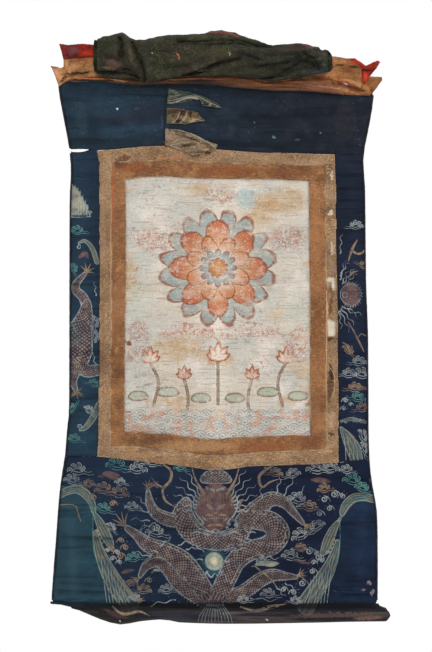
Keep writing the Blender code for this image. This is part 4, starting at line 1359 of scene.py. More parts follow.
bm = weld_copy("bottom_panel")
gone = []
for face in bm.faces:
    if in_roll(face):
        if abs(face.normal.x) > END_FACING:
            gone.append(face)
    elif face.normal.y > FACING:
        gone.append(face)
bmesh.ops.delete(bm, geom=gone, context="FACES")
turns = bm.copy()
net(bm, 3.7 * MM)
soften(bm, 10)
weave_page(bm, low_page)
paint_field(bm)
LOWER_CREASES = [
    (64, 574, 96, 577, 1.6, -1.3), (62, 583, 110, 586, 1.8, -1.6), (60, 592, 118, 593, 1.8, -1.8),
    (66, 563, 98, 560, 2.0, 1.2), (58, 599, 140, 600, 2.2, 1.8), (330, 588, 372, 585, 1.8, -1.6),
    (320, 597, 373, 595, 1.8, -1.8), (345, 575, 374, 578, 1.8, -1.3), (64, 536, 92, 540, 2.2, -1.2),
    (345, 548, 372, 544, 2.4, 1.2), (100, 470, 190, 476, 4, 1.6), (240, 478, 350, 470, 4, -1.6),
    (120, 530, 210, 524, 4, -1.8), (230, 540, 320, 546, 4, 1.8), (150, 585, 215, 594, 3, -1.8),
    (225, 592, 300, 588, 3, 1.6), (70, 510, 74, 590, 5, 1.8), (362, 500, 360, 590, 5, 1.8),
    (215, 470, 214, 600, 5, 1.4), (160, 480, 150, 590, 6, -1.4), (285, 480, 290, 590, 6, -1.4),
]
places = numpy.array([vert.co for vert in bm.verts])
lift = relief(places[:, 0], places[:, 2], LOWER_CREASES)
for number, vert in enumerate(bm.verts):
    where = Vector((vert.co.x * 6, vert.co.y * 6, vert.co.z * 13))
    slack = 1.1 * MM * noise.fractal(where, 1.0, 2.0, 4)
    if vert.co.z < CREASE_UP:
        ridge = noise.fractal(Vector((vert.co.x * 5, vert.co.y * 34, vert.co.z * 70)), 1.0, 2.0, 3)
        slack += 1.6 * MM * ridge
        lift[number] = 0
    lift[number] += slack
    vert.co.y -= lift[number]
paint(bm, "fold", lift / MM)
trim(bm, outward=0.5 * MM, fray=0.5 * MM, rounds=6, tuck=(IN_BINDING, IN_BINDING))
measure_rim(bm)

outer = [face for face in turns.faces
         if face.calc_center_median().z > CREASE_UP - INNER_DROP]
bmesh.ops.delete(turns, geom=outer, context="FACES")
wind_inward(turns, INNER_TURNS,
            lambda place, scale: place.x + (1 - scale) * 5 * MM * noise.noise(place * 20))
net(turns, 14 * MM)
threads = lay_page("lower_silk", low_page, bm)
known = set(bm.verts)
put_inside(bm, turns, "inner_turns")
for layer in bm.verts.layers.float.values():
    if layer.name in (*FILLS, "body", "band", "field"):
        for vert in bm.verts:
            if vert not in known:
                vert[layer] = OUTSIDE
hang("lower_silk", bm, "bottom_panel", pattern_dye, (0.98, 0.77))

# %% [markdown]
# Round the painting lie two borders, a gold-tan brocade outside and a rust-brown silk inside.
# Both are rubbed down so far that the cotton behind them shows: the tan one is all speckle and
# short bare threads, the brown one is streaked along its weave. Holes in the right-hand strip
# show the pale cloth behind it. Each strip is its own sheet.
# %% Dye the worn borders


def brocade(name, base, pale, dark, marks, speck=0.5, streak=(120, 120, 120)):
    """A worn brocade: patches of dye, short bare threads, dark specks, stains, a rubbed edge, and
    painted shade and highlight on its folds.
    """
    vat = Vat(name)
    patch = vat.clouds(9, 5, 0.6).soft(0.36, 0.66)
    threads = vat.streaks(*streak, 3, 0.7)
    crossing = vat.streaks(streak[2], streak[1], streak[0], 3, 0.7)
    colour = vat.mix(patch, base, dark)
    blotch = vat.streaks(40, 40, 30, 5, 0.65)
    colour = vat.mix(blotch.soft(0.52, 0.66) * 0.65, colour, dye(174, 128, 72))
    colour = vat.mix(blotch.soft(0.46, 0.32) * 0.5, colour, dye(122, 76, 50))
    colour = vat.mix(threads.soft(0.5, 0.66, 0.0, speck), colour, pale)
    colour = vat.mix(crossing.soft(0.52, 0.68, 0.0, speck), colour, dye(104, 74, 50))
    gaps = vat.streaks(70, 70, 420, 4, 0.75).soft(0.55, 0.68)
    colour = vat.mix(gaps * 0.6, colour, dye(96, 62, 38))
    pits = vat.cells(vat.place, 190).fall(0.16, 0.3)
    pits = pits * vat.clouds(26, 2).soft(0.44, 0.56)
    colour = vat.mix(pits * 0.8, colour, dye(72, 46, 28))
    soot = vat.clouds(5.5, 5, 0.65, 0.6).soft(0.54, 0.72, 0.0, 0.5)
    colour = vat.mix(soot, colour, dye(92, 60, 38))
    # Stains, then painted shade in the fold troughs and painted highlight on their ridges, with dust.
    colour = vat.fold_shade_and_dust(vat.marks(colour, marks), 0.3, 0.2)
    edge = vat.layer("rim").soft(0.0, 4 * MM, 0.5, 0.0)
    edge = edge * vat.clouds(24, 3).soft(0.42, 0.62)
    colour = vat.mix(edge, colour, dye(214, 190, 160))
    weave = (vat.across * 3100).wave() * (vat.up * 3100).wave()
    height = threads * 1.2 - pits * 0.8 - gaps * 0.7 + weave * 0.2
    return vat.cook(colour, 0.85 - threads * 0.15, height, depth=0.8 * MM, sheen=0.06, gloss=0.2)


# Stains, tears and the pale cloth in the holes; the orange line at (172, 158) is a painted highlight
# along the top crease.
OUTER_MARKS = (
    (207, 153, 4, 2.2, 10, (40, 28, 20), 0.9), (196, 156, 7, 2.2, -6, (92, 62, 40), 0.7),
    (123, 159, 8, 3.6, 24, (96, 58, 32), 0.85), (329.6, 296, 1.2, 3, 0, (218, 190, 154), 0.8),
    (327.4, 311, 1.3, 4.4, 0, (226, 200, 164), 0.85),
    (332.6, 249, 2.2, 8, 0, (212, 178, 140), 0.7), (172, 158, 16, 1.4, 0, (196, 118, 76), 0.5),
    (330, 387, 3.4, 18, -4, (70, 40, 26), 0.85), (331, 372, 2.2, 9, 8, (44, 26, 18), 0.9),
    (331, 434, 2.6, 1.2, 0, (58, 36, 24), 0.9), (331, 434, 0.9, 3.4, 0, (58, 36, 24), 0.9),
    (330, 339, 3, 2.4, 0, (56, 34, 22), 0.9), (331, 296, 3, 10, 0, (112, 70, 40), 0.6),
    (331, 420, 2.4, 10, 0, (188, 152, 122), 0.6), (330, 306, 3, 9, 0, (104, 58, 32), 0.75),
    (333, 268, 3, 8, 0, (140, 116, 96), 0.6), (327, 308, 1.4, 8, 0, (222, 196, 150), 0.7),
    (103, 230, 3, 40, 0, (168, 134, 108), 0.4),
    (103, 330, 2, 60, 1, (128, 92, 66), 0.4), (150, 455, 22, 3, 2, (182, 146, 112), 0.5),
    (306, 163, 22, 4, 3, (176, 142, 108), 0.5), (332, 176, 2.2, 5, 0, (216, 198, 170), 0.8),
)
INNER_MARKS = (
    (112.6, 196, 1.2, 34, 0, (180, 92, 66), 0.7), (121, 163, 7, 6, 0, (84, 50, 30), 0.8),
    (134, 168, 16, 5, 0, (136, 70, 38), 0.6),
    (228, 171, 34, 5, 0, (132, 66, 34), 0.55), (290, 172, 26, 5, 2, (112, 62, 36), 0.5),
    (120, 372, 7, 8, 0, (88, 58, 38), 0.6), (122, 402, 8, 10, 0, (100, 70, 48), 0.5),
    (120, 300, 8, 24, 0, (170, 122, 86), 0.4), (316, 240, 6, 40, 0, (166, 112, 72), 0.4),
    (317, 330, 5, 26, 0, (128, 78, 46), 0.45), (264, 447, 34, 6, 1, (136, 74, 42), 0.55),
    (145, 440, 26, 4, 2, (96, 68, 48), 0.6), (196, 446, 46, 6, 0, (182, 142, 100), 0.6),
    (310, 440, 16, 5, 0, (120, 72, 44), 0.5), (317, 420, 6, 16, 0, (168, 118, 84), 0.4),
)
outer_dye = brocade("outer_band_cloth", dye(158, 126, 95), dye(206, 182, 150), dye(124, 92, 64),
                    OUTER_MARKS, speck=0.6, streak=(130, 130, 430))
inner_dye = brocade("inner_band_cloth", dye(152, 104, 66), dye(190, 146, 106), dye(112, 70, 42),
                    INNER_MARKS, speck=0.55, streak=(60, 60, 360))

# %% [markdown]
# Each border is four strips with butted corners, stretched over the silk and frayed more than it.
# The right-hand tan strip is worn through, and every hole there gets its own ragged shape. The
# first point of a row is the middle of its hole. A pale thread along the turned edges is partly their
# bare threads and partly a painted highlight where the edge turns.
# %% Lay out the eight border strips
HOLE_SHAPES = (
    ((331, 212), (327.4, 214.8), (331, 208.8), (333, 208.4), (333.6, 214), (331, 215.6)),
    ((332.2, 247), (330.4, 241.4), (332.6, 240.8), (333.4, 245), (333.8, 252), (333, 255),
     (331.8, 252), (331, 246)),
    ((333, 280), (326.8, 276.4), (329, 277), (331, 276.8), (335, 277.6), (335, 290.6), (331.8, 291),
     (331.5, 281.6), (327, 282)),
    ((331, 327), (327, 318.6), (329, 317.4), (332.2, 320), (335.2, 323), (335.4, 336), (327.8, 336.8)),
)
HOLE_REACH = 11 * MM
HOLE_TALLEST = 80 * MM
STRIP_LEFT = 325.4
STRIP_RIGHT = 336.0


def reshape(bm, rims, shape):
    """Pulls the rim of one hole out to a shape of its own, and the cloth near it follows."""
    steps = numpy.linspace(0, len(shape) - 1, 60)
    across, down = (numpy.interp(steps, range(len(shape)), (*shape[1:, axis], shape[1, axis]))
                    for axis in (0, 1))
    corners = numpy.column_stack(at(across, down))
    centre = numpy.array(at(*shape[0]))
    angles = numpy.arctan2(*(corners - centre).T[::-1])
    order = numpy.argsort(angles)
    out = numpy.hypot(*(corners - centre).T)[order]
    pulls = []
    for vert in rims:
        gap = numpy.array((vert.co.x, vert.co.z)) - centre
        if abs(gap[0]) < 20 * MM and abs(gap[1]) < 34 * MM:
            turn = math.atan2(gap[1], gap[0])
            reach = numpy.interp(turn, angles[order], out, period=2 * math.pi)
            reach += 1.8 * MM * noise.noise(vert.co * 300)
            goal = centre + reach * numpy.array((math.cos(turn), math.sin(turn)))
            pulls.append((vert.co.copy(), Vector((goal[0] - vert.co.x, 0, goal[1] - vert.co.z))))
    for vert in bm.verts:
        near, move = min(pulls, key=lambda pull: (pull[0] - vert.co).length_squared)
        away = (near - vert.co).length
        px = pixel(vert.co)[0]
        inside = min(ramp(px - STRIP_LEFT), ramp(STRIP_RIGHT - px))
        if away < HOLE_REACH:
            vert.co += move * inside * (1 - away / HOLE_REACH) ** 1.5


def fray_holes(bm):
    """Rounds and frays every hole, but not the outline, of a strip."""
    rim = rim_of(bm)
    left = min(vert.co.x for vert in rim)
    right = max(vert.co.x for vert in rim)
    seeds = [vert for vert in rim if left + 2 * MM < vert.co.x < right - 2 * MM]
    holes = set()
    while seeds:
        vert = seeds.pop()
        loop = {vert}
        queue = [vert]
        while queue:
            for edge in rim[queue.pop()]:
                fresh = [end for end in edge.verts if end in rim and end not in loop]
                loop.update(fresh)
                queue.extend(fresh)
        if max(end.co.z for end in loop) - min(end.co.z for end in loop) < HOLE_TALLEST:
            holes |= loop
        seeds = [other for other in seeds if other not in loop]
    in_order = [vert for vert in rim if vert in holes]
    for shape in HOLE_SHAPES:
        reshape(bm, in_order, numpy.array(shape, float))


BAND_CREASES = [
    (100, 200, 125, 204, 3, 0.8), (99, 300, 125, 296, 3, -0.9), (99, 390, 126, 394, 3, 0.9),
    (312, 220, 338, 226, 3, 0.8), (311, 345, 338, 340, 3, -0.9), (311, 430, 338, 424, 3, 0.8),
    (130, 166, 210, 162, 2.5, 0.8), (225, 160, 310, 168, 2.5, -0.8), (120, 448, 200, 456, 3, 1.0),
    (215, 462, 330, 452, 3, 1.0), (111, 172, 111, 440, 1.0, 0.7), (325, 176, 325, 440, 1.0, 0.7),
]
BANDS = {
    "outer_band": (outer_dye, 0.25 * MM, {
        "top": (0.69, 0.054, 0.026), "bottom": (0.7, 0.066, 0.029),
        "left": (0.04, 0.825, 0.0295), "right": (0.042, 0.83, 0.0295)}),
    "inner_band": (inner_dye, 0.1 * MM, {
        "top": (0.62, 0.054, 0.0285), "bottom": (0.625, 0.056, 0.0278),
        "left": (0.044, 0.73, 0.03), "right": (0.05, 0.74, 0.034)}),
}
# Pale thread on the turned edges: partly bare threads, partly a painted highlight along the turn.
edge_thread_and_highlight = worn_thread("turned_edge_thread_and_highlight", dye(206, 166, 124), 0.5, dye(132, 84, 56))
TURNED_EDGES = {
    "outer_band_left": [
        run((112.6, 160, 0.2), (111.6, 190, 0.4), (110.8, 240, 0.4), (110.6, 300, 0.3))],
    "outer_band_right": [
        run((325.4, 222, 0.3), (325.6, 232, 0.5), (325.5, 240, 0.3)),
        run((326, 262, 0.3), (326.2, 280, 0.4), (326.4, 300, 0.6), (326.8, 312, 0.7), (326.6, 342, 0.5),
            (326.4, 366, 0.4), (326.8, 400, 0.3), (327.2, 440, 0.3)),
        run((328, 366, 0.3), (333, 372, 0.4), (334.6, 380, 0.4), (334, 392, 0.3))],
}
for slot, (material, proud, strips) in BANDS.items():
    for side, (width, length, area) in strips.items():
        node = slot + "_" + side
        bm = lay_out(node, 4.0 * MM)
        trim(bm, outward=0.9 * MM, fray=0.9 * MM, scale=220)
        if node == "outer_band_right":
            fray_holes(bm)
        press(bm, BAND_CREASES, crumple=0.7 * MM, grain=(16.0, 16.0))
        bmesh.ops.translate(bm, verts=bm.verts, vec=(0, -proud, 0))
        measure_rim(bm)
        threads = []
        if node in TURNED_EDGES:
            tree = BVHTree.FromBMesh(bm)
            threads.append(lay_thread(node + "_edge", TURNED_EDGES[node], tree, edge_thread_and_highlight))
        hang(node + "_strip", bm, node, material, (width, length),
             thick=0.7 * MM)

# %% [markdown]
# The painting itself is cotton, sized with chalk and glue, and painted. Its place has a plain
# traditional design: a lotus seen from above, five buds on stems, round leaves and a row of
# waves. Petals and leaves with a width go into layers of the net as the silk's motifs do. The
# lotus is worked out in the dye itself, from the distance and the angle to its heart, so its
# outline is crisp at any size.
# %% Draw buds and leaves for the painted cotton
PETAL_FAN = ((-62, 0.72), (-34, 0.9), (0, 1.05), (34, 0.9), (62, 0.72))
BUDS = ((150, 362, 15), (184, 378, 12), (218, 360, 18), (252, 378, 12), (286, 362, 15))
painted = {"petal": [], "leaf": [], "stem": []}
for x, y, size in BUDS:
    for lean, part in PETAL_FAN:
        way = math.radians(90 - lean)
        reach = size * part
        painted["petal"].append(run(
            (x, y, size * 0.1), (x + reach * 0.5 * math.cos(way), y - reach * 0.5 * math.sin(way),
                                 size * 0.2),
            (x + reach * math.cos(way * 0.97), y - reach * math.sin(way), size * 0.04)))
    painted["stem"].append(run((x, y, 1.2), (x + (218 - x) * 0.12, y + 20, 1.2),
                               (x + (218 - x) * 0.05, y + 44, 1.2)))
for x, y, wide in ((168, 392, 9), (201, 398, 8), (235, 398, 8), (268, 392, 9), (138, 396, 8),
                   (298, 396, 8)):
    painted["leaf"].append(run((x - wide, y + 1, 2), (x - wide / 2, y, 4.6), (x + wide / 2, y, 4.6),
                               (x + wide, y + 1, 2)))


# %% [markdown]
# The ground is chalk white gone warm, with blue-green and ochre washes. The lotus has five rings
# of petals, each smaller and turned against the last, with a dark red outline as a painter draws
# it. Below the leaves a band of scale-shaped waves closes the design.
# %% Dye the painted cotton
RUST = dye(186, 92, 56)
OCHRE = dye(196, 142, 84)
SLATE = dye(112, 112, 122)
CREAM = dye(226, 216, 202)
LOTUS_AT = (218, 268)
vat = Vat("painted_cotton")
wobble = (vat.clouds(17, 2) - 0.5) * 0.16


def lotus(size, petals, turn, waist, point=0.7):
    """How deep a place is in a ring of petals, how far out it is, and how far to a petal's side."""
    x = (vat.across - at(*LOTUS_AT)[0]) / (size * PIXEL) + wobble
    y = (vat.up - at(*LOTUS_AT)[1]) / (size * PIXEL) - wobble
    out = (x * x + y * y).root()
    side = abs((y.bearing(x) * (petals / (2 * math.pi)) + turn).part() - 0.5) * 2
    reach = (1 - side * side).power(point) * (1 - waist) + waist
    return reach - out, out, side


soft_field = vat.clouds(6, 5, 0.6)
ground = vat.mix(soft_field.soft(0.36, 0.62), dye(214, 205, 190), dye(196, 203, 198))
ground = vat.mix(vat.streaks(5, 5, 9, 4).soft(0.52, 0.68), ground,
                 dye(196, 170, 136))
ground = vat.mix(vat.clouds(10, 3).soft(0.54, 0.66), ground, dye(228, 222, 214))
colour = vat.marks(ground, (
    (286, 200, 24, 14, 0, (190, 156, 112), 0.75), (246, 198, 11, 12, 20, (136, 182, 188), 0.7),
    (150, 205, 22, 13, 0, (222, 220, 214), 0.7), (140, 300, 12, 26, 0, (188, 204, 194), 0.6),
    (297, 316, 12, 30, 0, (188, 204, 194), 0.6),
    (218, 268, 60, 58, 0, (216, 206, 186), 0.6)), ragged=0.3)
for size, petals, turn, waist, heart, tip in (
        (58, 16, 0.0, 0.74, dye(196, 196, 182), dye(150, 168, 168)),
        (48, 8, 0.5, 0.5, dye(218, 188, 152), RUST),
        (33, 8, 0.0, 0.46, CREAM, dye(202, 128, 84)),
        (19, 12, 0.5, 0.62, dye(196, 206, 204), dye(120, 138, 146)),
        (10, 10, 0.0, 0.8, OCHRE, dye(168, 96, 48))):
    deep, out, side = lotus(size, petals, turn, waist)
    petal = vat.mix(out.soft(0.35, 0.95), heart, tip)
    veins = (side * 14).wave().soft(0.2, 0.9) * 0.35
    petal = vat.mix(veins, petal, tip)
    colour = vat.mix(deep.soft(-0.01, 0.02), colour, petal)
    colour = vat.mix(abs(deep).soft(0.012, 0.05, 0.85, 0.0), colour, dye(128, 58, 40))
for name, heart, tip in (("stem", dye(150, 160, 140), dye(120, 132, 116)),
                         ("leaf", dye(176, 188, 168), dye(118, 138, 130)),
                         ("petal", CREAM, RUST)):
    deep = vat.layer(name)
    fill = vat.mix(deep.soft(0.4, 2.6), tip, heart)
    colour = vat.mix(deep.soft(-0.3, 0.2), colour, fill)
    colour = vat.mix(abs(deep).soft(0.2, 0.65, 0.8, 0.0), colour, dye(122, 60, 44))

wave_across = vat.across / (11 * PIXEL)
wave_up = (vat.up - at(0, 436)[1]) / (7 * PIXEL)
shift = wave_up - wave_up.part()
x = (wave_across + shift * 0.5).part() - 0.5
arc = (x * x + wave_up.part() * wave_up.part() * 0.5).root()
arcs = (arc * 26).wave().soft(-0.1, 0.5)
sea = vat.mix(arcs, dye(196, 202, 196), dye(128, 142, 148))
sea = vat.mix(vat.clouds(30, 3).soft(0.5, 0.6) * 0.6, sea, dye(196, 120, 80))
low = (vat.up + wobble * 0.08).soft(at(0, 408)[1], at(0, 411)[1])
colour = vat.mix(low * 0.85, colour, sea)

# %% [markdown]
# Old paint goes in stages. It flecks off, smoke greys it, it thins to the chalk, and rolling the
# scroll up cracks it in fine lines across. The leafy corners are twigs found in noise: a line is
# drawn wherever the noise crosses one height. The back was never painted, and shows damp.
# %% Paint the leafy corners, wear the paint away and crack it
twigs = vat.clouds(62, 3, 0.6, 2.6)
leafy = vat.mix(twigs.soft(0.5, 0.6), dye(222, 214, 204), dye(188, 96, 62))
leafy = vat.mix(twigs.fall(0.36, 0.46), leafy, dye(176, 184, 176))
leafy = vat.mix(abs(twigs - 0.53).fall(0.004, 0.022), leafy, dye(108, 64, 58))
dark_twigs = vat.mix(abs(twigs - 0.5).fall(0.01, 0.05), leafy, SLATE)
for px, py, wide, tall, turn, dark in (
        (150, 240, 24, 12, -8, 0), (288, 238, 22, 12, 8, 1), (138, 342, 13, 24, 0, 1),
        (298, 344, 13, 22, 0, 0), (218, 334, 34, 7, 0, 0), (180, 330, 24, 8, 12, 0),
        (258, 330, 24, 8, -12, 0), (220, 196, 18, 9, 0, 1)):
    colour = vat.mix(vat.spot(px, py, wide, tall, turn, 0.7) * 0.85, colour,
                     dark_twigs if dark else leafy)
flecks = vat.clouds(120, 4, 0.7, 1.2)
regions = vat.clouds(12, 3).soft(0.48, 0.6)
colour = vat.mix(flecks.soft(0.57, 0.63) * regions * 0.75, colour, dye(178, 88, 66))
colour = vat.mix(flecks.fall(0.37, 0.43) * 0.6, colour, dye(236, 232, 226))
smoke = vat.streaks(14, 14, 22, 5, 0.7, 1.0)
colour = vat.mix(smoke.soft(0.6, 0.7) * 0.5, colour, dye(96, 84, 88))
bare = vat.streaks(18, 18, 30, 6, 0.72).soft(0.48, 0.62)
colour = vat.mix(bare * 0.5, colour, dye(218, 210, 196))
cracks = vat.streaks(16, 16, 260, 4, 0.7).soft(0.55, 0.66)
uprights = vat.streaks(230, 230, 20, 3, 0.7).soft(0.58, 0.7)
colour = vat.mix(cracks * 0.4, colour, dye(150, 112, 84))
colour = vat.mix(uprights * 0.25, colour, dye(160, 132, 110))
colour = vat.marks(colour, (
    (128, 343, 3.6, 2.4, -14, (96, 56, 36), 1.0), (131, 345, 2, 0.8, 0, (48, 32, 26), 1.0),
    (128, 412, 2.6, 0.8, 0, (60, 40, 32), 1.0), (130, 357, 4, 5, 0, (150, 116, 92), 0.6),
    (140, 430, 16, 6, 0, (176, 124, 100), 0.5), (206, 250, 3, 5, 0, (92, 80, 84), 0.5)))
behind = vat.beyond(322, 324)
pale_cotton = vat.mix(cracks * 0.3, dye(232, 222, 200), dye(170, 130, 90))
colour = vat.mix(behind * 0.9, colour, pale_cotton)
colour = vat.mix(0.12, vat.dim(colour, 0.95), dye(206, 160, 118))
# Painted shade in the crease troughs and painted highlight on their ridges, with dust.
colour = vat.fold_shade_and_dust(colour, 0.2, 0.13)
weave = (vat.across * 2600).wave() * (vat.up * 2600).wave()
canvas_dye = vat.cook(colour, 0.9, weave * 0.3 - cracks - bare * 0.3, depth=0.6 * MM, gloss=0.15)

vat = Vat("bare_cotton_back")
tide = vat.clouds(5, 5, 0.65)
colour = vat.mix(tide.soft(0.4, 0.6), dye(196, 180, 150), dye(174, 152, 120))
colour = vat.mix(abs(tide - 0.52).soft(0.0, 0.02, 0.5, 0.0), colour, dye(128, 100, 70))
weave = (vat.across * 2600).wave() * (vat.up * 2600).wave()
back_dye = vat.cook(colour, 0.95, weave, depth=0.3 * MM, gloss=0.1)

# %% [markdown]
# The canvas is larger than its window and reaches under the borders. The bare cotton is its second
# dye, and the thickness gives that one to the back.
# %% Lay out the painted cotton
CANVAS_CREASES = [
    (128, 232, 308, 236, 1.6, 0.7), (128, 285, 308, 281, 1.8, -0.8), (128, 330, 308, 334, 1.6, 0.7),
    (128, 376, 308, 372, 1.8, -0.7), (128, 412, 308, 416, 1.6, 0.8), (216, 180, 220, 436, 9, 1.4),
]
bm = lay_out("painting_canvas", 3.7 * MM)
trim(bm, outward=0.0, fray=0.5 * MM)
for name, lines in painted.items():
    paint(bm, name, deepest(spots_of(bm), lines))
press(bm, CANVAS_CREASES, crumple=0.6 * MM, grain=(8.0, 20.0))
measure_rim(bm)
canvas = hang("painted_canvas", bm, "painting_canvas", canvas_dye, (0.675, 0.88),
              thick=0.9 * MM)
canvas.data.materials.append(back_dye)
canvas.modifiers["thickness"].material_offset = 1

# %% [markdown]
# A narrow dark binding is folded over each long edge of the mount. It is already a closed strip
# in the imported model, so its own copy is only divided, softened and shaken a little.
# %% Dye and fold the binding
vat = Vat("dark_binding")
rub = vat.streaks(90, 90, 30, 5, 0.7).soft(0.5, 0.75)
colour = vat.mix(rub * 0.6, dye(27, 30, 38), dye(92, 74, 62))
binding_dye = vat.cook(colour, 0.8, rub + twill(vat) * 0.3, depth=0.6 * MM)


def ease_all(bm, rounds):
    """Smooths a bulky cloth in all directions."""
    for _ in range(rounds):
        bmesh.ops.smooth_vert(bm, verts=bm.verts, factor=0.4, use_axis_x=True, use_axis_y=True,
                              use_axis_z=True)


def whole_copy(node, size, rounds, crumple, scale, open_side=0):
    """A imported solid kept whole, or open to one side: divided, softened and crumpled."""
    bm = weld_copy(node)
    if open_side:
        inside = [face for face in bm.faces if face.normal.x * open_side > 0.7]
        bmesh.ops.delete(bm, geom=inside, context="FACES")
    net(bm, size)
    ease_all(bm, rounds)
    bm.normal_update()
    moves = [vert.normal * crumple * noise.fractal(vert.co * scale, 1.0, 2.0, 4)
             for vert in bm.verts]
    for vert, move in zip(bm.verts, moves):
        vert.co += move
    return bm


for node, length, side in (("binding_left_upper", 0.182, 1), ("binding_left_lower", 1.3, 1),
                           ("binding_right", 1.47, -1)):
    bm = whole_copy(node, 3.0 * MM, 1, 0.5 * MM, 90, open_side=side)
    hang(node + "_tape", bm, node, binding_dye, (0.015, length),
         thick=0.6 * MM)

# %% [markdown]
# Above the silk is a plain tan heading with two ears that fold forward, and behind it a red
# cloth whose corners stick out on both sides. The lower edge of the heading is rolled over into
# a soft brown lip. All of it is soiled: burgundy and grey on the red, brown on the tan. Thin dark lines
# in the creases of the heading and the red cloth are painted shade, and pale lines on the heading's
# fold ridges are painted highlights. The lip has painted highlights along its upper edge and on its
# ridges, and painted shade along its lower edge, in its grooves and on its underside.
# %% Dye the heading, the lip and the red cloth
vat = Vat("tan_heading_cloth")
patch = vat.clouds(22, 5, 0.6).soft(0.38, 0.64)
colour = vat.mix(patch, dye(172, 124, 82), dye(130, 84, 50))
grime = vat.streaks(40, 40, 90, 5, 0.7).soft(0.5, 0.66)
colour = vat.mix(grime * 0.55, colour, dye(92, 54, 32))
# Brown stains, with painted shade as thin dark lines in the creases and painted highlights as pale
# lines on the fold ridges.
colour = vat.marks(colour, (
    (78, 73.4, 17, 1.1, 6, (52, 34, 24), 0.95), (64, 78, 6, 1.1, 48, (58, 36, 26), 0.9),
    (68, 66, 2.2, 8, 20, (190, 142, 98), 0.7), (56, 72, 3.5, 8, -20, (184, 140, 110), 0.6),
    (61, 86, 2, 4, 25, (176, 128, 90), 0.7), (340, 65.5, 3.6, 0.9, -6, (44, 28, 20), 1.0),
    (354, 66.9, 4.6, 0.8, -6, (40, 26, 18), 1.0), (349, 86, 16, 2.8, -24, (112, 40, 28), 0.9),
    (344, 84.2, 3.0, 1.2, -12, (252, 240, 228), 1.0), (350, 90, 14, 1.4, -22, (184, 124, 96), 0.9),
    (358, 93, 12, 1.2, -20, (66, 36, 26), 0.8), (330, 80, 14, 1.8, -8, (176, 104, 56), 0.7),
    (322, 78.5, 12, 2.2, -6, (84, 36, 28), 0.7), (340, 75, 12, 2.4, -10, (170, 112, 62), 0.6),
    (372, 92, 5, 1.8, -30, (96, 46, 24), 0.8), (375, 82, 3, 8, -25, (150, 104, 66), 0.6),
    (368, 88, 5, 1.4, 40, (182, 124, 70), 0.7), (336, 88.4, 10, 0.8, -34, (206, 150, 118), 0.9),
    (352, 62.4, 8, 1.4, -14, (150, 46, 32), 0.8), (362, 86, 1.2, 7, -6, (92, 44, 24), 0.7),
    (340, 83.4, 9, 1.0, -22, (92, 34, 24), 0.9), (341, 78, 16, 1.2, -4, (122, 66, 34), 0.6),
    (345, 72, 12, 0.9, -8, (108, 66, 38), 0.7)))
colour = vat.mix(vat.beyond(300, 345) * 0.3, colour, dye(92, 52, 26))
# Painted shade and highlight on the folds, with dust.
colour = vat.fold_shade_and_dust(colour, 0.42, 0.22)
slub = vat.streaks(60, 60, 500, 2)
heading_dye = vat.cook(colour, 0.88, slub - grime * 0.5, depth=0.6 * MM, gloss=0.12)

vat = Vat("brown_lip_silk")
# Painted highlight on the lip's ridges and painted shade in the grooves between them; the same noise
# gives its bump.
ridge = vat.streaks(9, 60, 120, 4, 0.6).soft(0.4, 0.62)
colour = vat.mix(ridge, dye(46, 28, 20), dye(136, 84, 52))
grime = vat.clouds(30, 5, 0.7).soft(0.5, 0.66)
colour = vat.mix(grime * 0.6, colour, dye(44, 26, 22))
rubbed = vat.beyond(206, 244)
colour = vat.dim(vat.mix(rubbed * 0.6, colour, dye(148, 92, 58)), rubbed * 0.32 + 0.68)
# Painted highlights along the lip's upper edge and painted shade along its lower edge.
colour = vat.marks(colour, (
    (92, 79.4, 20, 0.9, -2, (190, 110, 68), 0.9), (118, 81.5, 9, 0.8, -8, (220, 160, 128), 0.9),
    (185, 80, 26, 1.2, 4, (160, 98, 66), 0.8), (228, 79.6, 26, 1.4, 0, (170, 106, 80), 0.7),
    (262, 85, 16, 1.2, -8, (172, 108, 70), 0.8), (300, 83, 26, 1.4, -3, (160, 98, 60), 0.8),
    (322, 87.4, 20, 1.0, -6, (184, 120, 84), 0.8), (200, 85.5, 60, 0.9, 0, (36, 20, 16), 0.8),
    (290, 88.5, 24, 0.8, -4, (84, 34, 22), 0.8), (286, 81.2, 16, 0.8, 0, (90, 40, 26), 0.7)))
# Painted shade on the lip's underside, darker the more it faces down, after painted shade and highlight
# on its folds.
under = vat.layer("under").soft(-0.8, 0.5, 0.26, 1.1)
colour = vat.dim(vat.fold_shade_and_dust(colour, 0.35, 0.2), under)
lip_dye = vat.cook(colour, 0.55, ridge - grime, depth=1.2 * MM, sheen=0.05, gloss=0.3)

vat = Vat("red_cotton")
old = vat.clouds(14, 5, 0.65).soft(0.45, 0.6)
colour = vat.mix(old, dye(170, 50, 36), dye(124, 36, 28))
colour = vat.dim(colour, vat.beyond(330, 350, 1.0, 0.84))
left_stain = vat.beyond(80, 76)
colour = vat.mix(left_stain * 0.8, colour, dye(92, 34, 34))
# Burgundy and grey stains; the thin dark lines by the creases at the right are painted crease shade.
colour = vat.marks(colour, (
    (73, 51, 5, 5, 10, (86, 62, 64), 0.8), (66, 56, 4, 3, 0, (70, 32, 34), 0.8),
    (366, 70, 5, 1.2, -6, (56, 22, 16), 0.9), (350, 61, 7, 1.2, 25, (112, 30, 26), 0.8),
    (367, 79, 3, 7, 0, (178, 60, 38), 0.8), (377, 65, 3, 3, 30, (140, 56, 42), 0.7),
    (372, 66, 8, 2.4, 30, (112, 36, 28), 0.7), (356, 64, 6, 1.6, -30, (120, 30, 30), 0.7),
    (86, 56.5, 9, 0.9, 6, (96, 30, 24), 0.8)))
# Painted shade and highlight on the folds, with dust.
colour = vat.fold_shade_and_dust(colour, 0.4, 0.18)
slub = vat.streaks(60, 60, 400, 2)
red_dye = vat.cook(colour, 0.85, slub, depth=0.5 * MM, gloss=0.12)

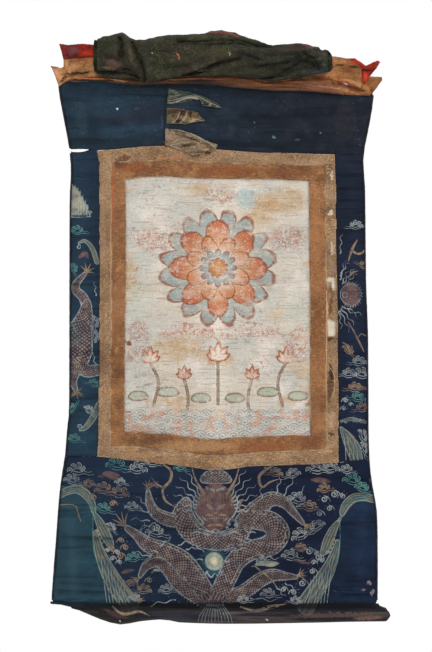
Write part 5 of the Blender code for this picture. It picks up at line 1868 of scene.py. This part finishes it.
# %% [markdown]
# The lip and the cover stand out towards the camera, so they look larger than the silk behind.
# Their outlines are read off the photograph, the upper and the lower one, and this step moves each
# point so that, as the camera sees it, it lies at the same share of the way between them.
# %% Ease a bulky cloth to the outline that shows


def as_seen(bm, edges_of, top, foot):
    """Eases a bulky cloth to its outline as the camera sees it, nearer than the silk behind."""
    columns = {}
    for vert in edges_of:
        column = round(vert.x / (3 * PIXEL))
        low, high = columns.get(column, (vert.z, vert.z))
        columns[column] = (min(low, vert.z), max(high, vert.z))
    keys = sorted(columns)
    lows = [columns[key][0] for key in keys]
    highs = [columns[key][1] for key in keys]
    for vert in bm.verts:
        px = pixel(vert.co)[0]
        column = vert.co.x / (3 * PIXEL)
        low, high = numpy.interp(column, keys, lows), numpy.interp(column, keys, highs)
        share = (vert.co.z - low) / max(high - low, MM)
        goal_low = at(0, numpy.interp(px, *zip(*foot)))[1]
        goal_high = at(0, numpy.interp(px, *zip(*top)))[1]
        nearer = 1 + vert.co.y / DISTANCE
        z = goal_low + (goal_high - goal_low) * share
        vert.co.z = CENTRE[1] + (z - CENTRE[1]) * nearer
        vert.co.x = CENTRE[0] + (vert.co.x - CENTRE[0]) * nearer


# %% [markdown]
# The heading's ears are creased where they fold, the red cloth is puckered behind them, and the lip
# is a small roll with ridges along it. The underside of the lip is dark, as the light comes from
# above, so each point keeps how far it faces up.
# %% Lay out the heading and the red cloth, and roll the lip
HEADING_CREASES = [
    (62, 62, 70, 74, 1.6, 1.8), (66, 74, 71, 60, 1.2, -1.6), (61, 83, 66, 77.5, 1.2, -2.4),
    (66, 77.5, 76, 74, 1.1, -2.6), (76, 74, 95, 72.4, 1.1, -2.6), (68, 79, 94, 76, 1.2, 2.0),
    (74, 66, 92, 62, 1.8, 1.2), (334, 62, 360, 63, 2.0, 1.4), (336, 65.5, 344, 65.5, 0.9, -2.0),
    (350, 66.8, 359, 67.4, 0.9, -2.0), (336, 71, 360, 76, 1.4, 1.4), (330, 78, 352, 82, 1.3, 2.2),
    (333, 84, 364, 91, 1.6, -3.4), (338, 88.5, 362, 94.5, 1.1, 2.6), (352, 82, 368, 90, 1.2, 2.2),
    (366, 80, 378, 92, 1.6, 1.6), (54, 70, 62, 80, 1.6, 1.6), (318, 79, 332, 80, 1.2, -2.2),
]
LIP_TOP = 4.6 * PIXEL
bm = lay_out("heading_cloth", 3.2 * MM, rounds=8)
for vert in bm.verts:
    px, py = pixel(vert.co)
    left = min(1.0, max(0.45, (140 - px) / 12)) * ramp((px - 58) / 8)
    left *= ramp((348 - px) / 14)
    vert.co.z += LIP_TOP * left * ramp((py - 78) / 8)
    if px < 100:
        vert.co.z -= 3.4 * PIXEL * ramp((66 - py) / 10)
trim(bm, outward=0.2 * MM, fray=0.9 * MM, rounds=6)
press(bm, HEADING_CREASES, crumple=1.8 * MM, grain=(26.0, 26.0))
measure_rim(bm)
hang("heading_cotton", bm, "heading_cloth", heading_dye, (0.96, 0.13), thick=0.8 * MM)

bm = lay_out("red_cloth", 4.0 * MM, rounds=6)
trim(bm, outward=0.2 * MM, fray=0.7 * MM, rounds=6)
press(bm, [(62, 46, 92, 56, 2.4, 1.6), (70, 58, 90, 47, 2, -1.4), (349, 59, 362, 64, 1.6, 2.2),
           (362, 62, 380, 62, 1.6, 1.8), (362, 70, 372, 71, 1.0, -2.6), (364, 74, 367, 86, 1.6, 2.0)],
      crumple=1.4 * MM, grain=(30.0, 30.0))
measure_rim(bm)
hang("red_cotton_cloth", bm, "red_cloth", red_dye, (0.93, 0.16), thick=0.8 * MM)

LIP_HIGH = ((66, 80.8), (75, 78.3), (90, 77), (105, 76.8), (120, 77.4), (135, 79), (165, 78.4),
            (178, 77.4), (200, 77), (225, 76.4), (240, 77), (252, 79.5), (266, 83), (285, 81.6),
            (297, 79.2), (311, 79.4), (322, 81.2), (334, 84.4), (340, 90), (345, 94.6))
LIP_LOW = ((66, 82), (84, 81.4), (106, 82.6), (118, 84), (130, 86), (140, 86.2), (160, 84.6),
           (200, 84.8), (224, 86.6), (248, 88.8), (272, 90.6), (297, 91.4), (321, 92.6),
           (339, 94.4), (345, 95.6))
bm = whole_copy("heading_roll", 2.6 * MM, 3, 0.9 * MM, 34)
as_seen(bm, [vert.co.copy() for vert in bm.verts], LIP_HIGH, LIP_LOW)
bm.normal_update()
waves = []
for vert in bm.verts:
    where = Vector((vert.co.x * 9, vert.co.y * 60, vert.co.z * 130))
    waves.append(noise.fractal(where, 1.0, 2.0, 3))
    vert.co += vert.normal * 1.6 * MM * waves[-1]
paint(bm, "fold", [2.0 * wave for wave in waves])
paint(bm, "under", [vert.normal.z for vert in bm.verts])
hang("rolled_lip", bm, "heading_roll", lip_dye, (0.8, 0.034), thick=0.0)

# %% [markdown]
# The cover is a dark green figured silk that hangs over the painting when it is shut away. Here
# it is gathered up and bunched over the top edge. Its folds are the scroll's boldest forms, so
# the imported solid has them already. This copy adds the fine ones, takes off its two ends, and
# lets the cloth go on turning inside, as a gathered cloth does.
# %% Dye the cover
vat = Vat("green_cover_silk")
nearer = vat.forward / DISTANCE + 1
vat.across = (vat.across - CENTRE[0]) / nearer + CENTRE[0]
vat.up = (vat.up - CENTRE[1]) / nearer + CENTRE[1]
plain_end = vat.beyond(126, 136, 0.3, 1.0)
rows = vat.cells(vat.stretched(330, 330, 250, 0.4), 1.0).fall(0.2, 0.5)
dull_end = vat.beyond(195, 255, 1.0, 0.4)
figure = rows * vat.clouds(34, 4, 0.65).soft(0.42, 0.6) * plain_end * dull_end
tone = vat.streaks(9, 14, 18, 5, 0.6).soft(0.4, 0.62)
colour = vat.mix(tone, dye(40, 42, 29), dye(44, 38, 32))
colour = vat.mix(vat.beyond(220, 310) * 0.85, colour, dye(27, 29, 24))
colour = vat.mix(figure * 0.75, colour, dye(96, 94, 64))
worn = vat.streaks(60, 60, 110, 5, 0.7).soft(0.52, 0.68)
colour = vat.mix(worn * 0.4, colour, dye(86, 78, 60))
colour = vat.marks(colour, (
    (221, 32, 13, 1.6, 0, (104, 50, 48), 0.9), (233, 35, 6, 1.4, -20, (114, 56, 50), 0.85),
    (308, 46, 9, 1.8, -14, (100, 52, 50), 0.9), (290, 48, 14, 3.0, 0, (64, 48, 42), 0.6),
    (113, 64, 10, 5.0, 5, (88, 66, 58), 0.6), (131, 56, 2.4, 9, 10, (84, 70, 58), 0.6),
    (178, 55, 1.6, 1.0, -40, (176, 104, 74), 1.0), (179, 58, 1.0, 1.6, 0, (150, 92, 66), 0.8),
    (230, 54, 0.6, 3.0, 0, (172, 170, 140), 1.0), (228, 52.5, 1.4, 0.6, 0, (150, 148, 112), 0.9),
    (152, 53, 0.8, 1.2, 0, (168, 164, 130), 0.9), (315, 72, 16, 5.0, 6, (34, 40, 42), 0.7),
    (112, 68, 9, 2.0, -8, (104, 92, 66), 0.6), (215, 53, 16, 6.0, 0, (66, 62, 42), 0.6)))
# Painted shade in the troughs of the folds and painted highlight on their ridges, on top of the general
# fold shade and dust.
fold = vat.layer("fold")
fold_light_and_shade = fold.soft(-5.0, 0.0, 0.25, 1.0) * fold.soft(0.0, 6.0, 1.0, 1.35)
colour = vat.dim(vat.fold_shade_and_dust(colour, 0.12, 0.3), fold_light_and_shade)
cover_dye = vat.cook(colour, 0.75, figure * 0.8 + worn * 0.5, depth=0.9 * MM, sheen=0.03, gloss=0.1)

# %% [markdown]
# Each fold of the cover is a row: a ridge stands out by some millimetres, and a trough, with a
# minus, sinks in by up to eight. As the bundle is round, a row pushes straight out of the cloth,
# or into it, at each point.
# %% Lay the cover's folds and gather it
COVER_FOLDS = [
    (119, 37, 122, 46, 1.6, -8), (122, 46, 121, 55, 1.5, -8), (114, 38, 115, 52, 3.2, 4),
    (127, 38, 129, 54, 2.6, 5), (97, 72.5, 112, 73, 1.4, -6), (112, 73, 127, 71, 1.4, -7),
    (127, 71, 138, 78, 1.5, -7), (98, 78, 120, 78, 2.6, 4), (122, 77, 136, 83, 2.4, 4),
    (104, 60, 121, 66, 1.5, 3), (103, 65, 118, 69, 1.2, -3), (106, 56, 118, 60, 1.3, -2.5),
    (132, 43, 138, 56, 1.8, -4), (138, 56, 143, 68, 1.6, -5), (143, 68, 145, 81, 1.6, -5),
    (147, 60, 150, 78, 3.0, 4), (133, 58, 136, 68, 2.0, 3), (148, 40, 170, 46, 3.4, 2.5),
    (158, 77.5, 178, 73.5, 1.7, 5), (178, 73.5, 196, 68, 1.7, 5.5), (196, 68, 214, 61, 1.7, 5),
    (160, 80.5, 182, 77, 1.4, -6), (182, 77, 200, 71.5, 1.5, -7), (200, 71.5, 218, 65, 1.5, -6),
    (170, 62, 200, 56, 3.0, 2.5), (160, 69, 186, 65, 2.0, -2.5), (178, 41.5, 205, 42.6, 1.5, -6),
    (205, 42.6, 236, 41.4, 1.5, -7), (236, 41.4, 256, 45.6, 1.5, -7), (256, 45.6, 272, 46, 1.5, -5),
    (190, 38, 225, 37.5, 2.6, 4), (225, 37.5, 250, 40.5, 2.6, 4), (206, 33, 236, 33, 1.6, 3),
    (214, 47, 250, 50, 3.0, 3), (210, 66, 240, 58, 1.8, -4), (214, 70, 244, 63, 2.6, 3),
    (240, 52, 262, 60, 1.8, -3), (252, 50, 284, 52, 2.4, 3), (228, 75, 262, 71, 2.0, 3),
    (238, 80.5, 262, 79.5, 1.4, -5), (262, 79.5, 282, 75, 1.5, -7), (282, 75, 294, 67.5, 1.6, -8),
    (294, 67.5, 310, 60.5, 1.7, -8), (276, 79, 302, 73, 2.4, 5), (302, 73, 326, 73, 2.6, 5),
    (256, 67, 288, 62, 1.9, -4), (262, 62, 292, 57, 2.4, 3.5), (303, 52, 312, 58, 1.5, -5),
    (312, 58, 318, 69, 1.6, -6), (308, 50, 321, 58, 2.0, 4), (322, 52, 325, 68, 2.0, 4),
    (328, 52, 329, 68, 1.2, -4), (300, 64, 316, 68, 1.4, -5), (286, 50, 304, 50, 2.0, 2.5),
    (268, 55, 300, 54, 1.4, -3), (96, 44, 100, 68, 2.4, 2.5), (150, 51, 174, 52, 1.6, -2.5),
]
COVER_TOP = ((92, 48), (94.5, 42), (97, 38.4), (103, 36.2), (113, 35.9), (118, 34), (121.4, 33.2),
             (125, 34.7), (129, 38), (136, 39.9), (146, 39.9), (154, 37.7), (166, 35.3), (178, 34.3),
             (207, 33.5), (211, 31.4), (221, 29.8), (228, 31.6), (235, 33.5), (246, 37), (258, 40),
             (268, 43.8), (273, 45), (282, 43.8), (299, 43.5), (305, 44.4), (315, 46.2), (319.4, 48.4),
             (321.6, 50.8), (324.4, 49.6), (328, 49.8), (331, 51.6), (334, 57))
COVER_FOOT = ((92, 62), (94.5, 69.6), (97, 73.5), (103, 76.5), (113, 77.9), (123, 78), (134, 79),
              (140, 81.6), (145, 83.8), (154, 83.2), (160, 80), (164, 78.2), (178, 77.2),
              (215, 76.7), (236, 76.8), (248, 78), (260, 79.8), (268, 81.5), (275, 81.3),
              (285, 80), (297, 78.3), (309, 75.9), (319, 73), (326, 72.2), (331, 72), (334, 68))
BUNDLE_HALF = 0.31
bm = weld_copy("cover_bundle")
ends = [face for face in bm.faces if abs(face.normal.x) > 0.8
        and abs(face.calc_center_median().x) > BUNDLE_HALF]
bmesh.ops.delete(bm, geom=ends, context="FACES")
turns = bm.copy()
net(bm, 3.1 * MM)
ease_all(bm, 4)
packed_points = [vert.co.copy() for vert in turns.verts]
as_seen(bm, packed_points, COVER_TOP, COVER_FOOT)
as_seen(turns, packed_points, COVER_TOP, COVER_FOOT)
bm.normal_update()
places = numpy.array([vert.co for vert in bm.verts])
nearer = 1 + places[:, 1] / DISTANCE
lift = relief(CENTRE[0] + (places[:, 0] - CENTRE[0]) / nearer,
              CENTRE[1] + (places[:, 2] - CENTRE[1]) / nearer, COVER_FOLDS)
heights = []
for vert, forward in zip(bm.verts, lift):
    facing = ramp(0.15 - vert.normal.y * 1.6)
    long = noise.fractal(Vector((vert.co.x * 11, vert.co.y * 34, vert.co.z * 34)), 1.0, 2.0, 4)
    fine = noise.fractal(vert.co * 90, 1.0, 2.0, 3)
    heights.append(forward * facing + 2.4 * MM * long + 0.9 * MM * fine)
paint(bm, "fold", [height / MM for height in heights])
for vert, height in zip(bm.verts, heights):
    vert.co += vert.normal * height
wind_inward(turns, (0.8, 0.6, 0.4), lambda place, scale: place.x * 0.985)
put_inside(bm, turns, "cover_inner_turns")
hang("gathered_cover", bm, "cover_bundle", cover_dye, (0.7, 0.8),
     thick=0.9 * MM)

# %% [markdown]
# Beside the upright seam three scraps of older silk are left, as if a patch had been torn away.
# The top one is grey-green with the crest of a woven wave, and the other two are tan.
# %% Dye and lay out the scraps
SCRAPS = {
    "upper": ("wave_scrap", (0.16, 0.057), 0.0038, dye(48, 56, 52), dye(84, 90, 78), (
        (196, 105.2, 12, 1.3, -2, (34, 36, 50), 1.0), (176, 106, 12, 0.8, -2, (34, 36, 50), 0.9),
        (180, 94, 16, 1.6, -16, (66, 78, 70), 0.8), (172, 92, 8, 2, -20, (128, 134, 116), 0.6)),
        (run((166, 103.4, 0.8), (174, 103, 1.0), (182, 99.8, 1.1), (190, 97.8, 1.1),
             (197, 99.2, 1.0), (203, 104, 0.7)),
         run((168, 101.2, 0.35), (176, 100, 0.4), (184, 97.4, 0.4), (191, 96.2, 0.4), (198, 97.6, 0.4)),
         run((194, 95, 0.35), (202, 98.6, 0.4), (210, 103, 0.4), (220, 107.6, 0.3)),
         run((167, 96, 0.3), (174, 96.4, 0.35), (181, 95, 0.3)), curl(210, 105.4, 1.6, 1.3, 0, 1, 0.35),
         run((206, 106.6, 0.3), (212, 107.4, 0.4), (217, 107.6, 0.3)))),
    "middle": ("tan_scrap", (0.12, 0.05), 0.0038, dye(116, 94, 68), dye(74, 60, 44), (
        (176, 112, 9, 2.4, 0, (60, 50, 40), 0.7), (188, 119, 9, 3, -14, (170, 146, 114), 0.8),
        (170, 118, 3, 4, 0, (110, 110, 92), 0.6), (184, 114, 1, 6, -20, (52, 40, 30), 0.8),
        (177, 119, 1, 5, 16, (62, 48, 36), 0.8), (191, 116, 0.9, 5, 14, (66, 50, 36), 0.8)),
        (run((171, 124, 0.3), (177, 119, 0.5), (180, 112, 0.3)),
         run((180, 123.6, 0.3), (185, 118, 0.5), (187, 113, 0.3)),
         run((190, 123, 0.3), (194, 119.6, 0.5), (202, 121, 0.4), (205, 121.6, 0.3)))),
    "lower": ("tan_scrap", (0.16, 0.08), 0.007, dye(156, 136, 112), dye(124, 102, 78), (
        (180, 132, 14, 1.0, -12, (58, 44, 32), 0.7), (196, 141, 12, 1.0, -24, (48, 36, 26), 0.9),
        (170, 146, 6, 1.0, 34, (58, 44, 32), 0.8), (186, 146, 9, 1.2, 10, (64, 48, 34), 0.8),
        (208, 146, 8, 2.2, -30, (70, 52, 34), 0.8), (172, 137, 6, 5, 0, (168, 138, 120), 0.6),
        (203, 148, 6, 3, -20, (156, 132, 96), 0.7), (200, 152, 9, 1.4, 4, (60, 44, 30), 0.8)),
        (run((166, 129.4, 0.4), (176, 129.8, 0.45), (188, 133, 0.45), (198, 137.4, 0.45),
             (208, 143, 0.45), (216, 147, 0.35)),
         run((168, 146, 0.3), (180, 143.4, 0.35), (190, 142, 0.3)))),
}
SCRAP_CREASES = [
    (168, 98, 200, 99, 1.2, 1.0), (184, 94, 214, 103, 1.2, 1.4), (172, 124, 179, 110, 1.2, 2.2),
    (176, 124, 183, 111, 1.0, -2.2), (181, 124, 187, 112, 1.2, 2.0), (186, 123, 191, 113, 1.0, -1.8),
    (190, 123, 200, 118, 1.4, 2.0), (176, 134, 198, 141, 1.2, -2.0), (166, 148, 178, 140, 1.2, 1.8),
    (196, 141, 214, 149, 1.4, 2.2), (178, 146, 196, 144, 1.2, -1.8), (200, 152, 214, 149, 1.2, 1.6),
]
# The pale lines are the woven wave on the top scrap; on the middle scrap they follow the ridges of its
# creases and are painted highlights.
pale_thread_and_highlight = worn_thread("scrap_pale_thread_and_highlight", dye(176, 168, 150), 0.6)
for key, (slot, flat, area, light, dark, marks, lines) in SCRAPS.items():
    vat = Vat(key + "_scrap_silk")
    colour = vat.mix(vat.streaks(60, 60, 110, 5, 0.7).soft(0.42, 0.6), light, dark)
    # Stains, with thin dark lines in the crease troughs of the tan scraps as painted shade, then
    # painted shade and highlight on the folds.
    colour = vat.fold_shade_and_dust(vat.marks(colour, marks), 0.5, 0.25)
    edge = vat.layer("rim").soft(0.0, 1.6 * MM, 0.6, 0.0)
    colour = vat.mix(edge, colour, dye(160, 150, 130))
    scrap_dye = vat.cook(colour, 0.8, twill(vat), depth=0.6 * MM, gloss=0.1)
    bm = lay_out("patch_" + key, 1.8 * MM, rounds=10)
    trim(bm, outward=0.0, fray=1.8 * MM, scale=330)
    press(bm, SCRAP_CREASES, crumple=1.2 * MM, grain=(60.0, 60.0))
    measure_rim(bm)
    threads = [lay_thread("scrap_" + key + "_thread", lines, BVHTree.FromBMesh(bm), pale_thread_and_highlight)]
    hang("scrap_" + key, bm, "patch_" + key, scrap_dye, flat, thick=0.6 * MM)

# %% [markdown]
# Last, the imported model's box and the finished scroll's box are printed side by side, so
# that anyone can see that the cloth stayed where the model puts it.
# %% Print the sizes and finish
size = {"cad": cad_box, "visual": [list(corner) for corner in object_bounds()]}
print("boxes", size)
